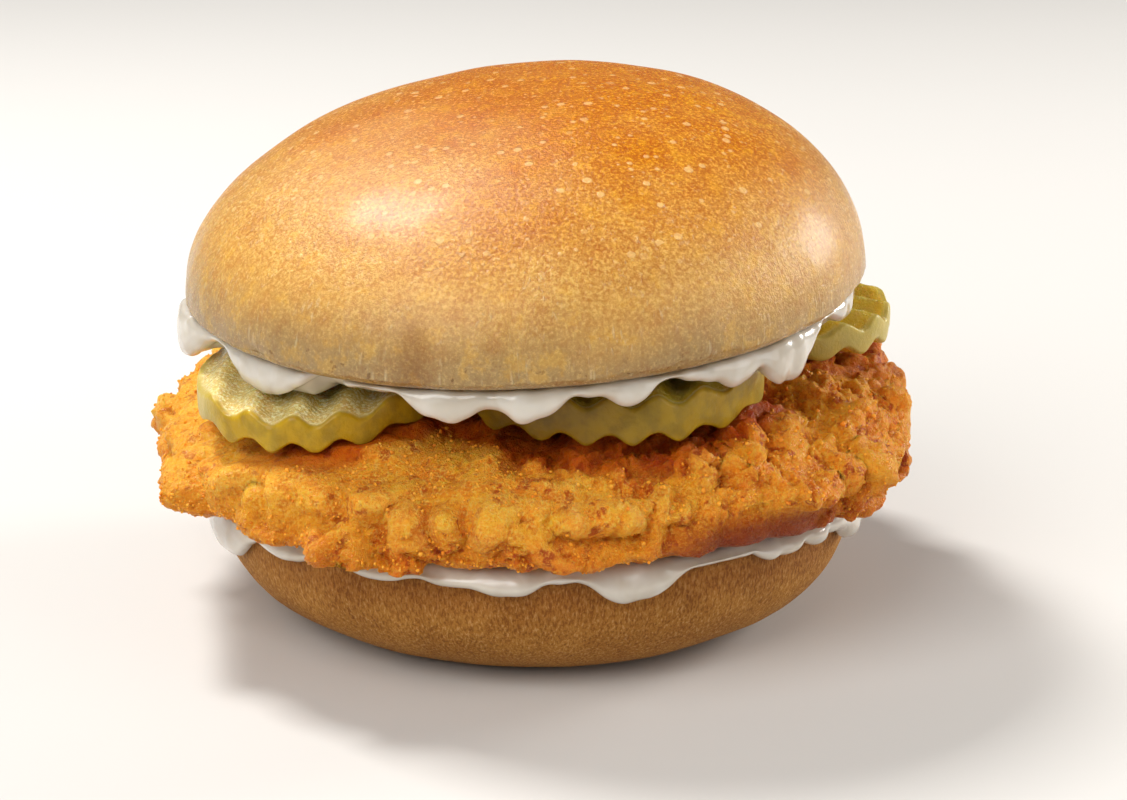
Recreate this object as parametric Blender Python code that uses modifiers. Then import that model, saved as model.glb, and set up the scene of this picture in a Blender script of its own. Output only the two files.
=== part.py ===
"""Chicken burger: a soft bun with a breaded chicken patty, three crinkle-cut
pickle slices and two layers of mayonnaise.

Every layer is one closed solid that runs through the burger.  The round layers
start as UV spheres whose rings are moved onto a section worked out for each
angle; the pickle slices start as grids that get their thickness from Solidify.
Lengths below are millimetres; the meshes are written in metres.
The origin is the middle of the heel's flat underside, +X right, +Y back, +Z up.
"""
import math

import bmesh
import bpy
import numpy as np

NAME = "chicken_burger"
MM = 0.001
SEED = 41
GAP = 0.35

# Heel: the flat-bottomed lower half of the bun
HEEL_BASE_RADIUS = 29.7
HEEL_RIM_RADIUS = 46.6
HEEL_HEIGHT = 18.3
HEEL_SIDE_ROUND = 1.27
HEEL_SIDE_LIFT = 0.69
HEEL_RISE_RIGHT = 0.008
HEEL_TOP_INSET = 1.0

# Patty: a breaded fillet, thicker towards the back and the right
PATTY_HALF_WIDTH = 54.2
PATTY_HALF_DEPTH = 50.0
PATTY_SQUARE = 2.25
PATTY_CENTRE = (-0.9, -0.3)
PATTY_UNDERSIDE = 19.6
PATTY_RIM_LIFT = 0.9
PATTY_LIFT_FROM = (42.0, 46.0)
PATTY_TOP = 36.2
PATTY_TOP_RISE_RIGHT = 0.02
PATTY_TOP_PEAK_Y = 14.0
PATTY_TOP_FALL_Y = 0.001
PATTY_TOP_FALL_LEFT = 5.0
PATTY_TOP_FALL_RIGHT = 0.4
PATTY_POWER = 4.4
PATTY_LEFT_POWER = 2.9
PATTY_LEFT_BLEND = (0.55, 0.95)
PATTY_WAIST = 0.36
PATTY_RELIEF = 3.4
# Broad swells and folded lumps: share of the relief, and the noise value that leaves the surface as it is
SWELLS = (0.8, 0.5)
FOLDS = (1.2, 0.4)
LUMP_SIZE = 5.6
# The relief points outwards at the rim and upwards on the flat: gain at the rim, loss of the upward part
RELIEF_OUT = 1.4
RELIEF_UP_LOSS = 0.6
# Reach from the middle over which the relief sets in
PATTY_CALM = (12.0, 28.0)
# Flat seat under a slice: margin past its edge, width of the run-out
PATTY_SEAT = (1.5, 3.0)

# Nuggets of breading on the rim: angle, height, reach along the rim, reach up, stand-out;
# those that stand out less than nothing are hollows and bare patches between them
NUGGETS = (
    (-171.0, 24.0, 6.0, 3.6, 1.3),
    (-162.0, 24.0, 2.0, 3.0, -0.6),
    (-156.0, 22.5, 4.5, 3.4, 1.2),
    (-143.0, 26.5, 8.0, 2.2, -1.0),
    (-131.0, 22.3, 4.2, 2.6, 2.4),
    (-124.5, 22.5, 1.8, 3.0, -1.2),
    (-118.0, 21.8, 3.6, 3.0, 2.6),
    (-113.0, 26.5, 6.0, 1.8, -0.9),
    (-108.5, 21.6, 3.2, 3.2, 3.0),
    (-99.0, 21.2, 4.0, 2.4, 1.8),
    (-86.0, 27.0, 7.0, 2.4, 0.9),
    (-71.0, 23.0, 2.2, 4.4, 1.7),
    (-58.0, 22.0, 8.0, 2.8, -1.3),
    (-33.0, 27.0, 7.0, 3.0, 1.2),
    (-14.0, 24.0, 4.5, 4.0, 1.2),
    (4.0, 28.0, 6.0, 5.0, 1.2),
    (22.0, 22.0, 4.0, 3.0, 1.8),
    (40.0, 25.0, 5.0, 4.5, 1.8),
    (54.0, 24.0, 2.5, 4.0, -1.0),
    (63.0, 27.0, 6.0, 4.0, 1.8),
    (88.0, 22.0, 4.5, 3.0, 2.4),
    (100.0, 26.0, 5.0, 2.0, -1.0),
    (112.0, 24.5, 5.0, 4.5, 2.0),
    (137.0, 21.8, 4.5, 3.0, 2.4),
    (158.0, 26.0, 5.5, 4.0, 1.4),
)

# Crown: the domed upper half of the bun, leaning a little forward and left
CROWN_CENTRE = (-1.5, 0.0)
CROWN_BASE = 46.8
CROWN_RISE_RIGHT = 0.039
CROWN_RISE_BACK = 0.045
CROWN_BACK_SAG = 7.0
CROWN_SAG_REACH = 1.1
CROWN_RADIUS = 49.1
CROWN_CUT_RADIUS = 43.4
CROWN_LIP_ROUND = 0.8
CROWN_WIDEST = 2.0
CROWN_HEIGHT = 28.4
CROWN_SIDE_ROUND = 0.87
CROWN_SLOPE_RIGHT = 0.05
CROWN_TALLER_RIGHT = 0.105
CROWN_TALLER_BACK = 0.05

# Pickle slices: name, centre x, centre y, radius x, radius y, ridge turn in degrees,
# thickness, phase of the crinkle in degrees, rise to the right, rise to the back
SLICES = (
    ("pickle_left", -29.4, -17.2, 17.6, 19.8, -6.0, 3.9, 40.0, 0.06, 0.11),
    ("pickle_front", 10.4, -21.4, 21.4, 19.6, 0.0, 5.1, 20.0, 0.01, 0.03),
    ("pickle_right", 36.0, 7.0, 15.9, 16.2, 62.0, 3.7, 90.0, 0.0, 0.02),
)
CRINKLE_LENGTH = 6.2
CRINKLE_DEPTH = 0.75
# The outermost column of a slice stops short of its tip
SLICE_LAST_TURN = 83.0
SLICE_TRIM = 0.988

# Mayonnaise under the crown
UPPER_INNER = 41.0
UPPER_OUTER = 46.0
UPPER_THINNEST = 0.6
# The underside passes from the front slice to the right one over this reach past their radii,
# and to the left one between these shares of its radius
SAUCE_TO_RIGHT = (1.5, 3.0)
SAUCE_TO_LEFT = (0.5, 0.9)
# Behind the slices it comes down over the blend width; the edge lies further back at the right
SAUCE_BACK_LIFT = 2.8
SAUCE_BACK_EDGE = 8.0
SAUCE_BACK_EDGE_RIGHT = 16.0
SAUCE_EDGE_TURN = (8.0, 18.0)
SAUCE_BACK_BLEND = 15.0
# Hanging lip: a tongue shorter than the first drop doesn't hang, one past the second does fully
UPPER_HANG = (0.8, 2.2)
UPPER_TIP_THICK = 0.5
UPPER_TIP_SLANT = 0.25
UPPER_OVER_SLICE = (0.8, 1.2)
# Outline power of a tongue
DRIP_POWER = 2.6
# Tongues of sauce over the rim: angle, half width in degrees, drop, extra stand-out
UPPER_DRIPS = (
    (-168.0, 9.0, 4.4, 3.4),
    (-140.0, 10.0, 4.0, 0.4),
    (-103.5, 5.5, 2.8, 0.5),
    (-95.0, 7.0, 1.8, 0.2),
    (-87.5, 4.5, 2.8, 0.4),
    (-76.0, 8.0, 1.0, 0.0),
    (-71.5, 3.5, 2.0, 0.3),
    (-55.0, 7.0, 1.8, 0.2),
    (-37.5, 7.5, 5.2, 1.0),
    (-8.0, 13.0, 3.4, 0.6),
    (28.0, 8.0, 3.0, 0.6),
    (52.0, 9.0, 1.4, 0.3),
    (77.0, 7.0, 2.6, 0.8),
    (104.0, 10.0, 1.2, 0.3),
    (127.0, 7.0, 2.8, 0.6),
    (158.0, 8.0, 2.4, 0.8),
)

# Mayonnaise on the heel
LOWER_DRIPS = (
    (-156.0, 10.0, 5.4, 1.0),
    (-136.0, 7.0, 1.9, 0.3),
    (-116.0, 6.0, 1.1, 0.2),
    (-103.0, 4.0, 0.9, 0.2),
    (-94.0, 5.0, 1.9, 0.5),
    (-73.5, 7.0, 3.1, 0.7),
    (-44.0, 5.0, 1.2, 0.5),
    (-34.0, 4.0, 1.2, 0.4),
    (-17.0, 10.0, 4.4, 1.0),
    (22.0, 8.0, 1.6, 0.4),
    (48.0, 6.0, 3.2, 0.8),
    (79.0, 8.0, 1.5, 0.4),
    (106.0, 6.0, 3.4, 0.8),
    (141.0, 8.0, 2.2, 0.6),
    (168.0, 5.0, 1.4, 0.3),
)

# Colours and roughnesses
BUN_TOP = (0.60, 0.27, 0.07, 1.0)
BUN_SIDE = (0.45, 0.25, 0.10, 1.0)
MAYO = (0.78, 0.75, 0.68, 1.0)
BREADING = (0.62, 0.27, 0.05, 1.0)
PICKLE = (0.34, 0.32, 0.05, 1.0)
HEEL_ROUGH = 0.8
CROWN_ROUGH = 0.35
BREADING_ROUGH = 0.6
PICKLE_ROUGH = 0.3
MAYO_ROUGH = 0.25
# Edges steeper than this stay sharp
HEEL_SHARP = 50.0
CROWN_SHARP = 60.0
SLICE_SHARP = 40.0


def lattice_noise(points, scale, seed):
    """Smooth value noise, 0 to 1: seeded numbers on a lattice, blended between."""
    table = np.random.default_rng(seed).random((24, 24, 24))
    cell = points / scale + 311.0
    low = np.floor(cell).astype(int)
    part = cell - low
    part = part * part * (3.0 - 2.0 * part)
    total = np.zeros(len(points))
    for corner in range(8):
        step = np.array([corner & 1, corner >> 1 & 1, corner >> 2 & 1])
        weight = np.prod(np.where(step, part, 1.0 - part), axis=1)
        at = (low + step) % 24
        total += weight * table[at[:, 0], at[:, 1], at[:, 2]]
    return total


def smooth_step(low, high, value):
    """0 below low, 1 above high, an S curve between."""
    part = np.clip((value - low) / (high - low), 0.0, 1.0)
    return part * part * (3.0 - 2.0 * part)


def angle_between(first, second):
    """Signed difference of two angles in degrees, within half a turn."""
    return (first - second + 180.0) % 360.0 - 180.0


def heel_top(x, y):
    """Height of the heel's cut face."""
    return HEEL_HEIGHT + HEEL_RISE_RIGHT * x


def heel_radius(height):
    """Radius of the heel's rounded side at a height."""
    part = np.clip(height / HEEL_HEIGHT, 0.0, 1.0)
    turn = np.arccos((1.0 - part) ** (1.0 / HEEL_SIDE_LIFT))
    return HEEL_BASE_RADIUS + (HEEL_RIM_RADIUS - HEEL_BASE_RADIUS) * np.sin(turn) ** HEEL_SIDE_ROUND


def patty_top(x, y):
    """Height of the patty's top before its rim rounds over and its crags."""
    fall_x = np.where(x < 0.0, PATTY_TOP_FALL_LEFT, PATTY_TOP_FALL_RIGHT) * (x / PATTY_HALF_WIDTH) ** 4
    fall_y = PATTY_TOP_FALL_Y * (y - PATTY_TOP_PEAK_Y) ** 2
    return PATTY_TOP + PATTY_TOP_RISE_RIGHT * x - fall_x - fall_y


def patty_under(x, y):
    """Lowest height of the patty: flat over the heel, a little higher past its rim."""
    return PATTY_UNDERSIDE + PATTY_RIM_LIFT * smooth_step(*PATTY_LIFT_FROM, np.hypot(x, y))


def crown_sag(y):
    """How far the crown's cut face sags towards the back."""
    return CROWN_BACK_SAG * np.clip(y / CROWN_RADIUS, 0.0, CROWN_SAG_REACH) ** 2


def crown_base(x, y):
    """Height of the crown's cut face, which sags at the back onto the patty."""
    return CROWN_BASE + CROWN_RISE_RIGHT * x + CROWN_RISE_BACK * y - crown_sag(y)


def slice_frame(entry, x, y):
    """Across-ridge and along-ridge coordinates of a point on a slice."""
    turn = math.radians(entry[5])
    east, north = x - entry[1], y - entry[2]
    across = east * math.cos(turn) + north * math.sin(turn)
    along = -east * math.sin(turn) + north * math.cos(turn)
    return across, along


def slice_cover(entry, x, y, margin, blend):
    """1 over a slice grown by a margin, falling to 0 over the blend width."""
    across, along = slice_frame(entry, x, y)
    ratio = np.hypot(across / entry[3], along / entry[4])
    beyond = (ratio - 1.0) * 0.5 * (entry[3] + entry[4])
    return 1.0 - smooth_step(margin, margin + blend, beyond)


def slice_plane(entry, x, y):
    """Height of a slice's tilted plane over its own middle."""
    return entry[8] * (x - entry[1]) + entry[9] * (y - entry[2])


def slice_seat(entry):
    """Height at which a slice's middle rests, so that the stiff disc just clears the patty."""
    angle, reach = np.meshgrid(np.linspace(0.0, 2.0 * math.pi, 48), np.linspace(0.0, 1.0, 9))
    x = entry[1] + entry[3] * reach * np.cos(angle)
    y = entry[2] + entry[4] * reach * np.sin(angle)
    return np.max(patty_top(x, y) - slice_plane(entry, x, y)) + GAP + CRINKLE_DEPTH + 0.5 * entry[6]


def slice_middle(entry, x, y):
    """Height of a slice's middle surface without its crinkle."""
    return slice_seat(entry) + slice_plane(entry, x, y)


def slice_crest(entry, x, y):
    """Height that just clears the crests of a slice."""
    return slice_middle(entry, x, y) + 0.5 * entry[6] + CRINKLE_DEPTH + GAP


def sauce_floor(x, y):
    """Underside of the upper sauce: over the slices, and down near the patty behind them."""
    left, front, right = [slice_crest(entry, x, y) for entry in SLICES]
    west, south, east = SLICES
    toward = math.atan2(east[2] - south[2], east[1] - south[1])
    ahead = (x - south[1]) * math.cos(toward) + (y - south[2]) * math.sin(toward)
    to_right = smooth_step(south[4] + SAUCE_TO_RIGHT[0], south[3] + SAUCE_TO_RIGHT[1], ahead)
    near, far = [west[1] + share * west[3] for share in SAUCE_TO_LEFT]
    to_left = 1.0 - smooth_step(near, far, x)
    floor = front * (1.0 - to_right) + right * to_right
    floor = floor * (1.0 - to_left) + left * to_left
    back_edge = SAUCE_BACK_EDGE + SAUCE_BACK_EDGE_RIGHT * smooth_step(*SAUCE_EDGE_TURN, x)
    behind = smooth_step(back_edge, back_edge + SAUCE_BACK_BLEND, y)
    return floor * (1.0 - behind) + (patty_top(x, y) + SAUCE_BACK_LIFT) * behind


def drips_at(drips, degrees):
    """Drop and stand-out of the sauce at each angle, summed over its tongues."""
    drop = np.zeros_like(degrees)
    proud = np.zeros_like(degrees)
    for centre, width, depth, out in drips:
        shape = np.exp(-np.abs(angle_between(degrees, centre) / width) ** DRIP_POWER)
        drop += depth * shape
        proud += out * shape
    return drop, proud


def sphere(name, segments, rings):
    """A UV sphere of radius 1 with its angles in degrees and ring numbers."""
    mesh = bpy.data.meshes.new(name)
    form = bmesh.new()
    bmesh.ops.create_uvsphere(form, u_segments=segments, v_segments=rings, radius=1.0)
    form.to_mesh(mesh)
    form.free()
    points = np.empty(len(mesh.vertices) * 3, dtype=np.float32)
    mesh.vertices.foreach_get("co", points)
    points = points.reshape(-1, 3).astype(float)
    angle = np.arctan2(points[:, 1], points[:, 0])
    latitude = np.arcsin(np.clip(points[:, 2], -1.0, 1.0))
    ring = np.rint((latitude / math.pi + 0.5) * rings).astype(int)
    return mesh, angle, ring


def place(mesh, points):
    """Write points, given in millimetres, into a mesh."""
    mesh.vertices.foreach_set("co", (points * MM).astype(np.float32).ravel())
    mesh.update()


def finish(mesh, collection, material, sharp_degrees=None):
    """Make the object, shade it smooth and give it its material."""
    thing = bpy.data.objects.new(mesh.name, mesh)
    collection.objects.link(thing)
    mesh.materials.append(material)
    mesh.shade_smooth()
    if sharp_degrees:
        mesh.set_sharp_from_angle(angle=math.radians(sharp_degrees))
    return thing


def material(name, colour, roughness):
    """A plain Principled material."""
    shade = bpy.data.materials.new(name)
    shade.use_nodes = True
    shader = shade.node_tree.nodes["Principled BSDF"]
    shader.inputs["Base Color"].default_value = colour
    shader.inputs["Roughness"].default_value = roughness
    shader.inputs["Metallic"].default_value = 0.0
    return shade


def make_heel(collection):
    """Flat underside, a side that swells outwards to the cut, and the cut face."""
    segments, rings, under, over = 48, 12, 2, 2
    mesh, angle, ring = sphere("bun_heel", segments, rings)
    side = rings - under - over
    turn = np.clip((ring - under) / side, 0.0, 1.0) * math.pi / 2
    spread = HEEL_RIM_RADIUS - HEEL_BASE_RADIUS
    radius = HEEL_BASE_RADIUS + spread * np.sin(turn) ** HEEL_SIDE_ROUND
    height = HEEL_HEIGHT * (1.0 - np.cos(turn) ** HEEL_SIDE_LIFT)
    radius = np.where(ring < under, HEEL_BASE_RADIUS * ring / under, radius)
    radius = np.where(ring > rings - over, (HEEL_RIM_RADIUS - HEEL_TOP_INSET) * (rings - ring) / over, radius)
    height = np.where(ring > rings - over, HEEL_HEIGHT, height)
    x, y = radius * np.cos(angle), radius * np.sin(angle)
    height = height + HEEL_RISE_RIGHT * x * height / HEEL_HEIGHT
    place(mesh, np.stack([x, y, height], axis=1))
    return finish(mesh, collection, material("heel_crust", BUN_SIDE, HEEL_ROUGH), HEEL_SHARP)


def make_crown(collection):
    """A low dome over a rounded lip and a flat cut face, on the crown's tilted base."""
    segments, rings, under, lip = 52, 16, 2, 3
    mesh, angle, ring = sphere("bun_crown", segments, rings)
    rise = np.clip((ring - under - lip) / (rings - under - lip), 0.0, 1.0) * math.pi / 2
    curl = np.clip((ring - under) / lip, 0.0, 1.0) * math.pi / 2
    side_round = CROWN_SIDE_ROUND + CROWN_SLOPE_RIGHT * np.clip(np.cos(angle), 0.0, 1.0)
    radius = CROWN_RADIUS * np.cos(rise) ** side_round
    height = CROWN_WIDEST + (CROWN_HEIGHT - CROWN_WIDEST) * np.sin(rise)
    lip_radius = CROWN_CUT_RADIUS + (CROWN_RADIUS - CROWN_CUT_RADIUS) * np.sin(curl) ** CROWN_LIP_ROUND
    lip_height = CROWN_WIDEST * (1.0 - np.cos(curl))
    lower = ring <= under + lip
    radius = np.where(lower, lip_radius, radius)
    height = np.where(lower, lip_height, height)
    radius = np.where(ring < under, CROWN_CUT_RADIUS * ring / under, radius)
    part = radius / CROWN_RADIUS
    height = height * (1.0 + (CROWN_TALLER_RIGHT * np.cos(angle) + CROWN_TALLER_BACK * np.sin(angle)) * part)
    x = CROWN_CENTRE[0] + radius * np.cos(angle) - CROWN_RISE_RIGHT * height
    y = CROWN_CENTRE[1] + radius * np.sin(angle) - CROWN_RISE_BACK * height
    unsag = crown_sag(y) * smooth_step(0.0, CROWN_HEIGHT, height)
    height = height + crown_base(x, y) + unsag
    place(mesh, np.stack([x, y, height], axis=1))
    return finish(mesh, collection, material("crown_crust", BUN_TOP, CROWN_ROUGH), CROWN_SHARP)


def make_patty(collection):
    """A thick fillet: superellipse outline and section, lumps, nuggets and crags."""
    segments, rings = 116, 28
    mesh, angle, ring = sphere("chicken_patty", segments, rings)
    turn = (ring / rings - 0.5) * math.pi
    outline = (np.abs(np.cos(angle) / PATTY_HALF_WIDTH) ** PATTY_SQUARE
               + np.abs(np.sin(angle) / PATTY_HALF_DEPTH) ** PATTY_SQUARE) ** (-1.0 / PATTY_SQUARE)
    to_left = smooth_step(*PATTY_LEFT_BLEND, -np.cos(angle))
    power = 2.0 / (PATTY_POWER + (PATTY_LEFT_POWER - PATTY_POWER) * to_left)
    out = np.clip(np.cos(turn), 0.0, 1.0) ** power
    up = np.sign(turn) * np.abs(np.sin(turn)) ** power
    x = PATTY_CENTRE[0] + outline * out * np.cos(angle)
    y = PATTY_CENTRE[1] + outline * out * np.sin(angle)
    top = patty_top(x, y)
    waist = PATTY_UNDERSIDE + PATTY_WAIST * (top - PATTY_UNDERSIDE)
    height = waist + np.where(up > 0.0, (top - waist) * up, (waist - PATTY_UNDERSIDE) * up)
    points = np.stack([x, y, height], axis=1)
    push, spread = patty_relief(points, angle, up)
    push = push * smooth_step(*PATTY_CALM, np.hypot(x, y))
    points[:, 0] += push * np.cos(angle) * spread
    points[:, 1] += push * np.sin(angle) * spread
    points[:, 2] += push * up * (1.0 - RELIEF_UP_LOSS * spread)
    points[:, 2] = np.maximum(points[:, 2], patty_under(points[:, 0], points[:, 1]))
    for entry in SLICES:
        under = slice_middle(entry, points[:, 0], points[:, 1]) - 0.5 * entry[6] - CRINKLE_DEPTH - GAP
        cover = slice_cover(entry, points[:, 0], points[:, 1], *PATTY_SEAT)
        points[:, 2] -= np.maximum(points[:, 2] - under, 0.0) * cover
    place(mesh, points)
    return finish(mesh, collection, material("breading", BREADING, BREADING_ROUGH))


def patty_relief(points, angle, up):
    """Stand-out of the breading, and how far it points outwards rather than up.

    Two sizes of lumpy noise, folded so that creases lie between round lumps,
    plus the nuggets on the rim.
    """
    broad = lattice_noise(points, 2.0 * LUMP_SIZE, SEED)
    lumps = np.abs(2.0 * lattice_noise(points, LUMP_SIZE, SEED + 1) - 1.0)
    push = PATTY_RELIEF * (SWELLS[0] * (broad - SWELLS[1]) + FOLDS[0] * (lumps - FOLDS[1]))
    spread = np.sqrt(np.clip(1.0 - up * up, 0.0, 1.0))
    degrees = np.degrees(angle)
    for centre, middle, along, high, out in NUGGETS:
        far = angle_between(degrees, centre) * math.radians(PATTY_HALF_DEPTH) / along
        push = push + out * np.exp(-(far**2) - ((points[:, 2] - middle) / high) ** 2) * (spread > 0.05)
    return push, np.clip(spread * RELIEF_OUT, 0.0, 1.0)


def make_slice(entry, collection, shade):
    """A crinkled disc: columns along the ridges, a wave across them, then thickness."""
    name, centre_x, centre_y, radius_x, radius_y, turn, thick, phase = entry[:8]
    columns, rows = 31, 7
    mesh = bpy.data.meshes.new(name)
    form = bmesh.new()
    bmesh.ops.create_grid(form, x_segments=columns - 1, y_segments=rows - 1, size=1.0)
    form.to_mesh(mesh)
    form.free()
    points = np.empty(len(mesh.vertices) * 3, dtype=np.float32)
    mesh.vertices.foreach_get("co", points)
    points = points.reshape(-1, 3).astype(float)
    last = math.radians(SLICE_LAST_TURN)
    wide = np.sin(points[:, 0] * last) / math.sin(last) * SLICE_TRIM
    across = radius_x * wide
    along = radius_y * np.sqrt(1.0 - wide**2) * points[:, 1]
    yaw = math.radians(turn)
    x = centre_x + across * math.cos(yaw) - along * math.sin(yaw)
    y = centre_y + across * math.sin(yaw) + along * math.cos(yaw)
    wave = CRINKLE_DEPTH * np.cos(across * 2.0 * math.pi / CRINKLE_LENGTH + math.radians(phase))
    place(mesh, np.stack([x, y, slice_middle(entry, x, y) + wave], axis=1))
    thing = finish(mesh, collection, shade, SLICE_SHARP)
    wall = thing.modifiers.new("thickness", "SOLIDIFY")
    wall.thickness = thick * MM
    wall.offset = 0.0
    return thing


def make_upper_mayo(collection):
    """Sauce between the slices and the crown, with tongues that hang over the rim."""
    segments, rings, lip_ring = 104, 10, 7
    mesh, angle, ring = sphere("mayo_upper", segments, rings)
    drop, proud = drips_at(UPPER_DRIPS, np.degrees(angle))
    flat = np.zeros_like(angle)
    inner, outer = UPPER_INNER + flat, UPPER_OUTER + proud
    # From the middle of the underside out to the lip and back to the middle of the top
    radii = (flat, 0.5 * inner, inner, inner + 2.4, inner + 3.4 + 0.6 * proud, outer - 0.7,
             outer + 0.1, outer - 0.2, outer - 1.5 - 0.5 * proud, 0.6 * inner, flat)
    radius = np.choose(ring, radii)
    x = CROWN_CENTRE[0] + radius * np.cos(angle)
    y = CROWN_CENTRE[1] + radius * np.sin(angle)
    roof = crown_base(x, y) - GAP
    floor = np.minimum(sauce_floor(x, y), roof - UPPER_THINNEST)
    tip = roof - UPPER_TIP_THICK - drop
    hang = smooth_step(*UPPER_HANG, drop)
    neck = floor * hang + (tip + 0.4) * (1.0 - hang)
    heights = (floor, floor, floor, neck, tip + 0.15, tip,
               tip + UPPER_TIP_THICK + UPPER_TIP_SLANT * drop, roof - 0.45, roof, roof, roof)
    height = np.choose(ring, heights)
    for entry in SLICES:
        cover = slice_cover(entry, x, y, *UPPER_OVER_SLICE) * (ring < lip_ring)
        height += np.maximum(slice_crest(entry, x, y) - height, 0.0) * cover
    place(mesh, np.stack([x, y, height], axis=1))
    return finish(mesh, collection, material("mayo_upper", MAYO, MAYO_ROUGH))


def make_lower_mayo(collection):
    """Sauce between the heel and the patty, with tongues that run down the heel."""
    segments, rings = 104, 10
    mesh, angle, ring = sphere("mayo_lower", segments, rings)
    drop, proud = drips_at(LOWER_DRIPS, np.degrees(angle))
    flat = np.zeros_like(angle)
    rim = HEEL_RIM_RADIUS + flat
    edge = heel_top(rim * np.cos(angle), rim * np.sin(angle))
    tip = edge + 0.1 - drop
    # From the middle of the underside out over the rim and back to the middle of the top
    radii = (flat, 0.5 * rim, rim - 1.2, rim + 0.45, heel_radius(tip + 0.5) + 0.55,
             heel_radius(tip) + 1.0, heel_radius(tip + 0.8) + 1.5 + proud, rim + 0.9 + proud,
             rim - 0.6, 0.895 * rim, flat)
    radius = np.choose(ring, radii)
    x, y = radius * np.cos(angle), radius * np.sin(angle)
    bed = heel_top(x, y) + GAP
    roof = patty_under(x, y) - GAP
    heights = (bed, bed, bed, edge + 0.3, tip + 0.25, tip, tip + 0.6 + 0.15 * drop, edge + 1.0,
               roof, roof, roof)
    height = np.choose(ring, heights)
    place(mesh, np.stack([x, y, height], axis=1))
    return finish(mesh, collection, material("mayo_lower", MAYO, MAYO_ROUGH))


def main():
    """Clear the scene and build the burger from the heel up."""
    for thing in list(bpy.data.objects):
        bpy.data.objects.remove(thing, do_unlink=True)
    collection = bpy.data.collections.new(NAME)
    bpy.context.scene.collection.children.link(collection)
    make_heel(collection)
    make_lower_mayo(collection)
    make_patty(collection)
    pickle = material("pickle", PICKLE, PICKLE_ROUGH)
    for entry in SLICES:
        make_slice(entry, collection, pickle)
    make_upper_mayo(collection)
    make_crown(collection)


main()
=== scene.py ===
"""Looks of the chicken burger: bun, breaded patty, pickle slices, mayonnaise and stage.

The file is laid out as a Blender add-on and is run as a script.  Each layer is a
closed surface worked out with numpy on rings of points from its underside to its
top, and has its own procedural material.  Lengths in the shape functions are
millimetres in the burger's frame: the origin is the middle of the heel's
underside, +X right, +Y back, +Z up.
"""

import math
from collections import namedtuple
from itertools import product

import bpy
import numpy as np
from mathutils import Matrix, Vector


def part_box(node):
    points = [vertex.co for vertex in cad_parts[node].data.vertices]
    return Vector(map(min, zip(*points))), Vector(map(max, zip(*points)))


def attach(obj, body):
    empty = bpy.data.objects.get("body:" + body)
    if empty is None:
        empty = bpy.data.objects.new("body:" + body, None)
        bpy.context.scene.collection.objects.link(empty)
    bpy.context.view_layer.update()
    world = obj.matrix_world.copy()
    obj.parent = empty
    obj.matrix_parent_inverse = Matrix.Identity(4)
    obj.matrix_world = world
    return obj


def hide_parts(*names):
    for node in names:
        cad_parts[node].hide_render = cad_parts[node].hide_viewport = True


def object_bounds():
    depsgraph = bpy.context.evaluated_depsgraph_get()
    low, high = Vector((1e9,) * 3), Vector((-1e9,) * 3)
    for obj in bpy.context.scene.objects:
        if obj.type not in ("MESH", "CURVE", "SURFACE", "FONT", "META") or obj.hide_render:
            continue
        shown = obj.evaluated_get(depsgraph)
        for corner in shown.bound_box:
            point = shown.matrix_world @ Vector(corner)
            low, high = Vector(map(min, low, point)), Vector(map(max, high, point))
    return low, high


bl_info = {
    "name": "Chicken burger",
    "version": (1, 0, 0),
    "blender": (4, 5, 0),
    "location": "3D View > Sidebar > Burger",
    "description": "Makes a chicken burger with a soft bun, pickles and mayonnaise",
    "category": "Object",
}

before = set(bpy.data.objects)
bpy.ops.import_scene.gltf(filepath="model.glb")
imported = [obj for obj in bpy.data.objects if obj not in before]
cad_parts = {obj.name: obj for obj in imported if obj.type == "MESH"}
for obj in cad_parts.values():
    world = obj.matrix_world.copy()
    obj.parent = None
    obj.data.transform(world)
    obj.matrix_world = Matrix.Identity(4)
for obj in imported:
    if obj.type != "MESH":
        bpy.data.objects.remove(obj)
CAD_LOW, CAD_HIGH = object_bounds()

# A millimetre in metres, the gap between layers, the first seed, the solids' box and the
# margin to it
MM = 0.001
GAP = 0.35
SEED = 41
BOX_LOW, BOX_HIGH = [np.array(corner) / MM for corner in (CAD_LOW, CAD_HIGH)]
BOX_MARGIN = 0.05

# Points round each ring of a layer, and rings from its underside to its top
HEEL_POINTS = 360
PATTY_POINTS = 700
PATTY_RINGS = 138
SLICE_POINTS = 420
SAUCE_POINTS = 720
SAUCE_RINGS = 130
CROWN_POINTS = 420

# Heel, from its solid: the rim is the widest part and the side narrows to the base
HEEL_RIM_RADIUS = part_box("bun_heel")[1].x / MM
HEEL_BASE_RADIUS = 29.7
HEEL_RISE_RIGHT = 0.008
HEEL_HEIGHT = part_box("bun_heel")[1].z / MM - HEEL_RISE_RIGHT * HEEL_RIM_RADIUS
HEEL_SIDE_ROUND = 1.27
HEEL_SIDE_LIFT = 0.69

# Patty
PATTY_HALF_WIDTH = 54.2
PATTY_HALF_DEPTH = 50.0
PATTY_SQUARE = 2.25
PATTY_CENTRE = (-0.9, -0.3)
PATTY_UNDERSIDE = 19.6
PATTY_TOP = 36.2
PATTY_TOP_RISE_RIGHT = 0.02
PATTY_TOP_PEAK_Y = 14.0
PATTY_TOP_FALL_Y = 0.001
PATTY_TOP_FALL_LEFT = 5.0
PATTY_TOP_FALL_RIGHT = 0.4
PATTY_POWER = 4.4
PATTY_LEFT_POWER = 2.9
PATTY_WAIST = 0.36
PATTY_RELIEF = 3.4
LUMP_SIZE = 5.6
PATTY_CALM = (12.0, 28.0)

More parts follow.
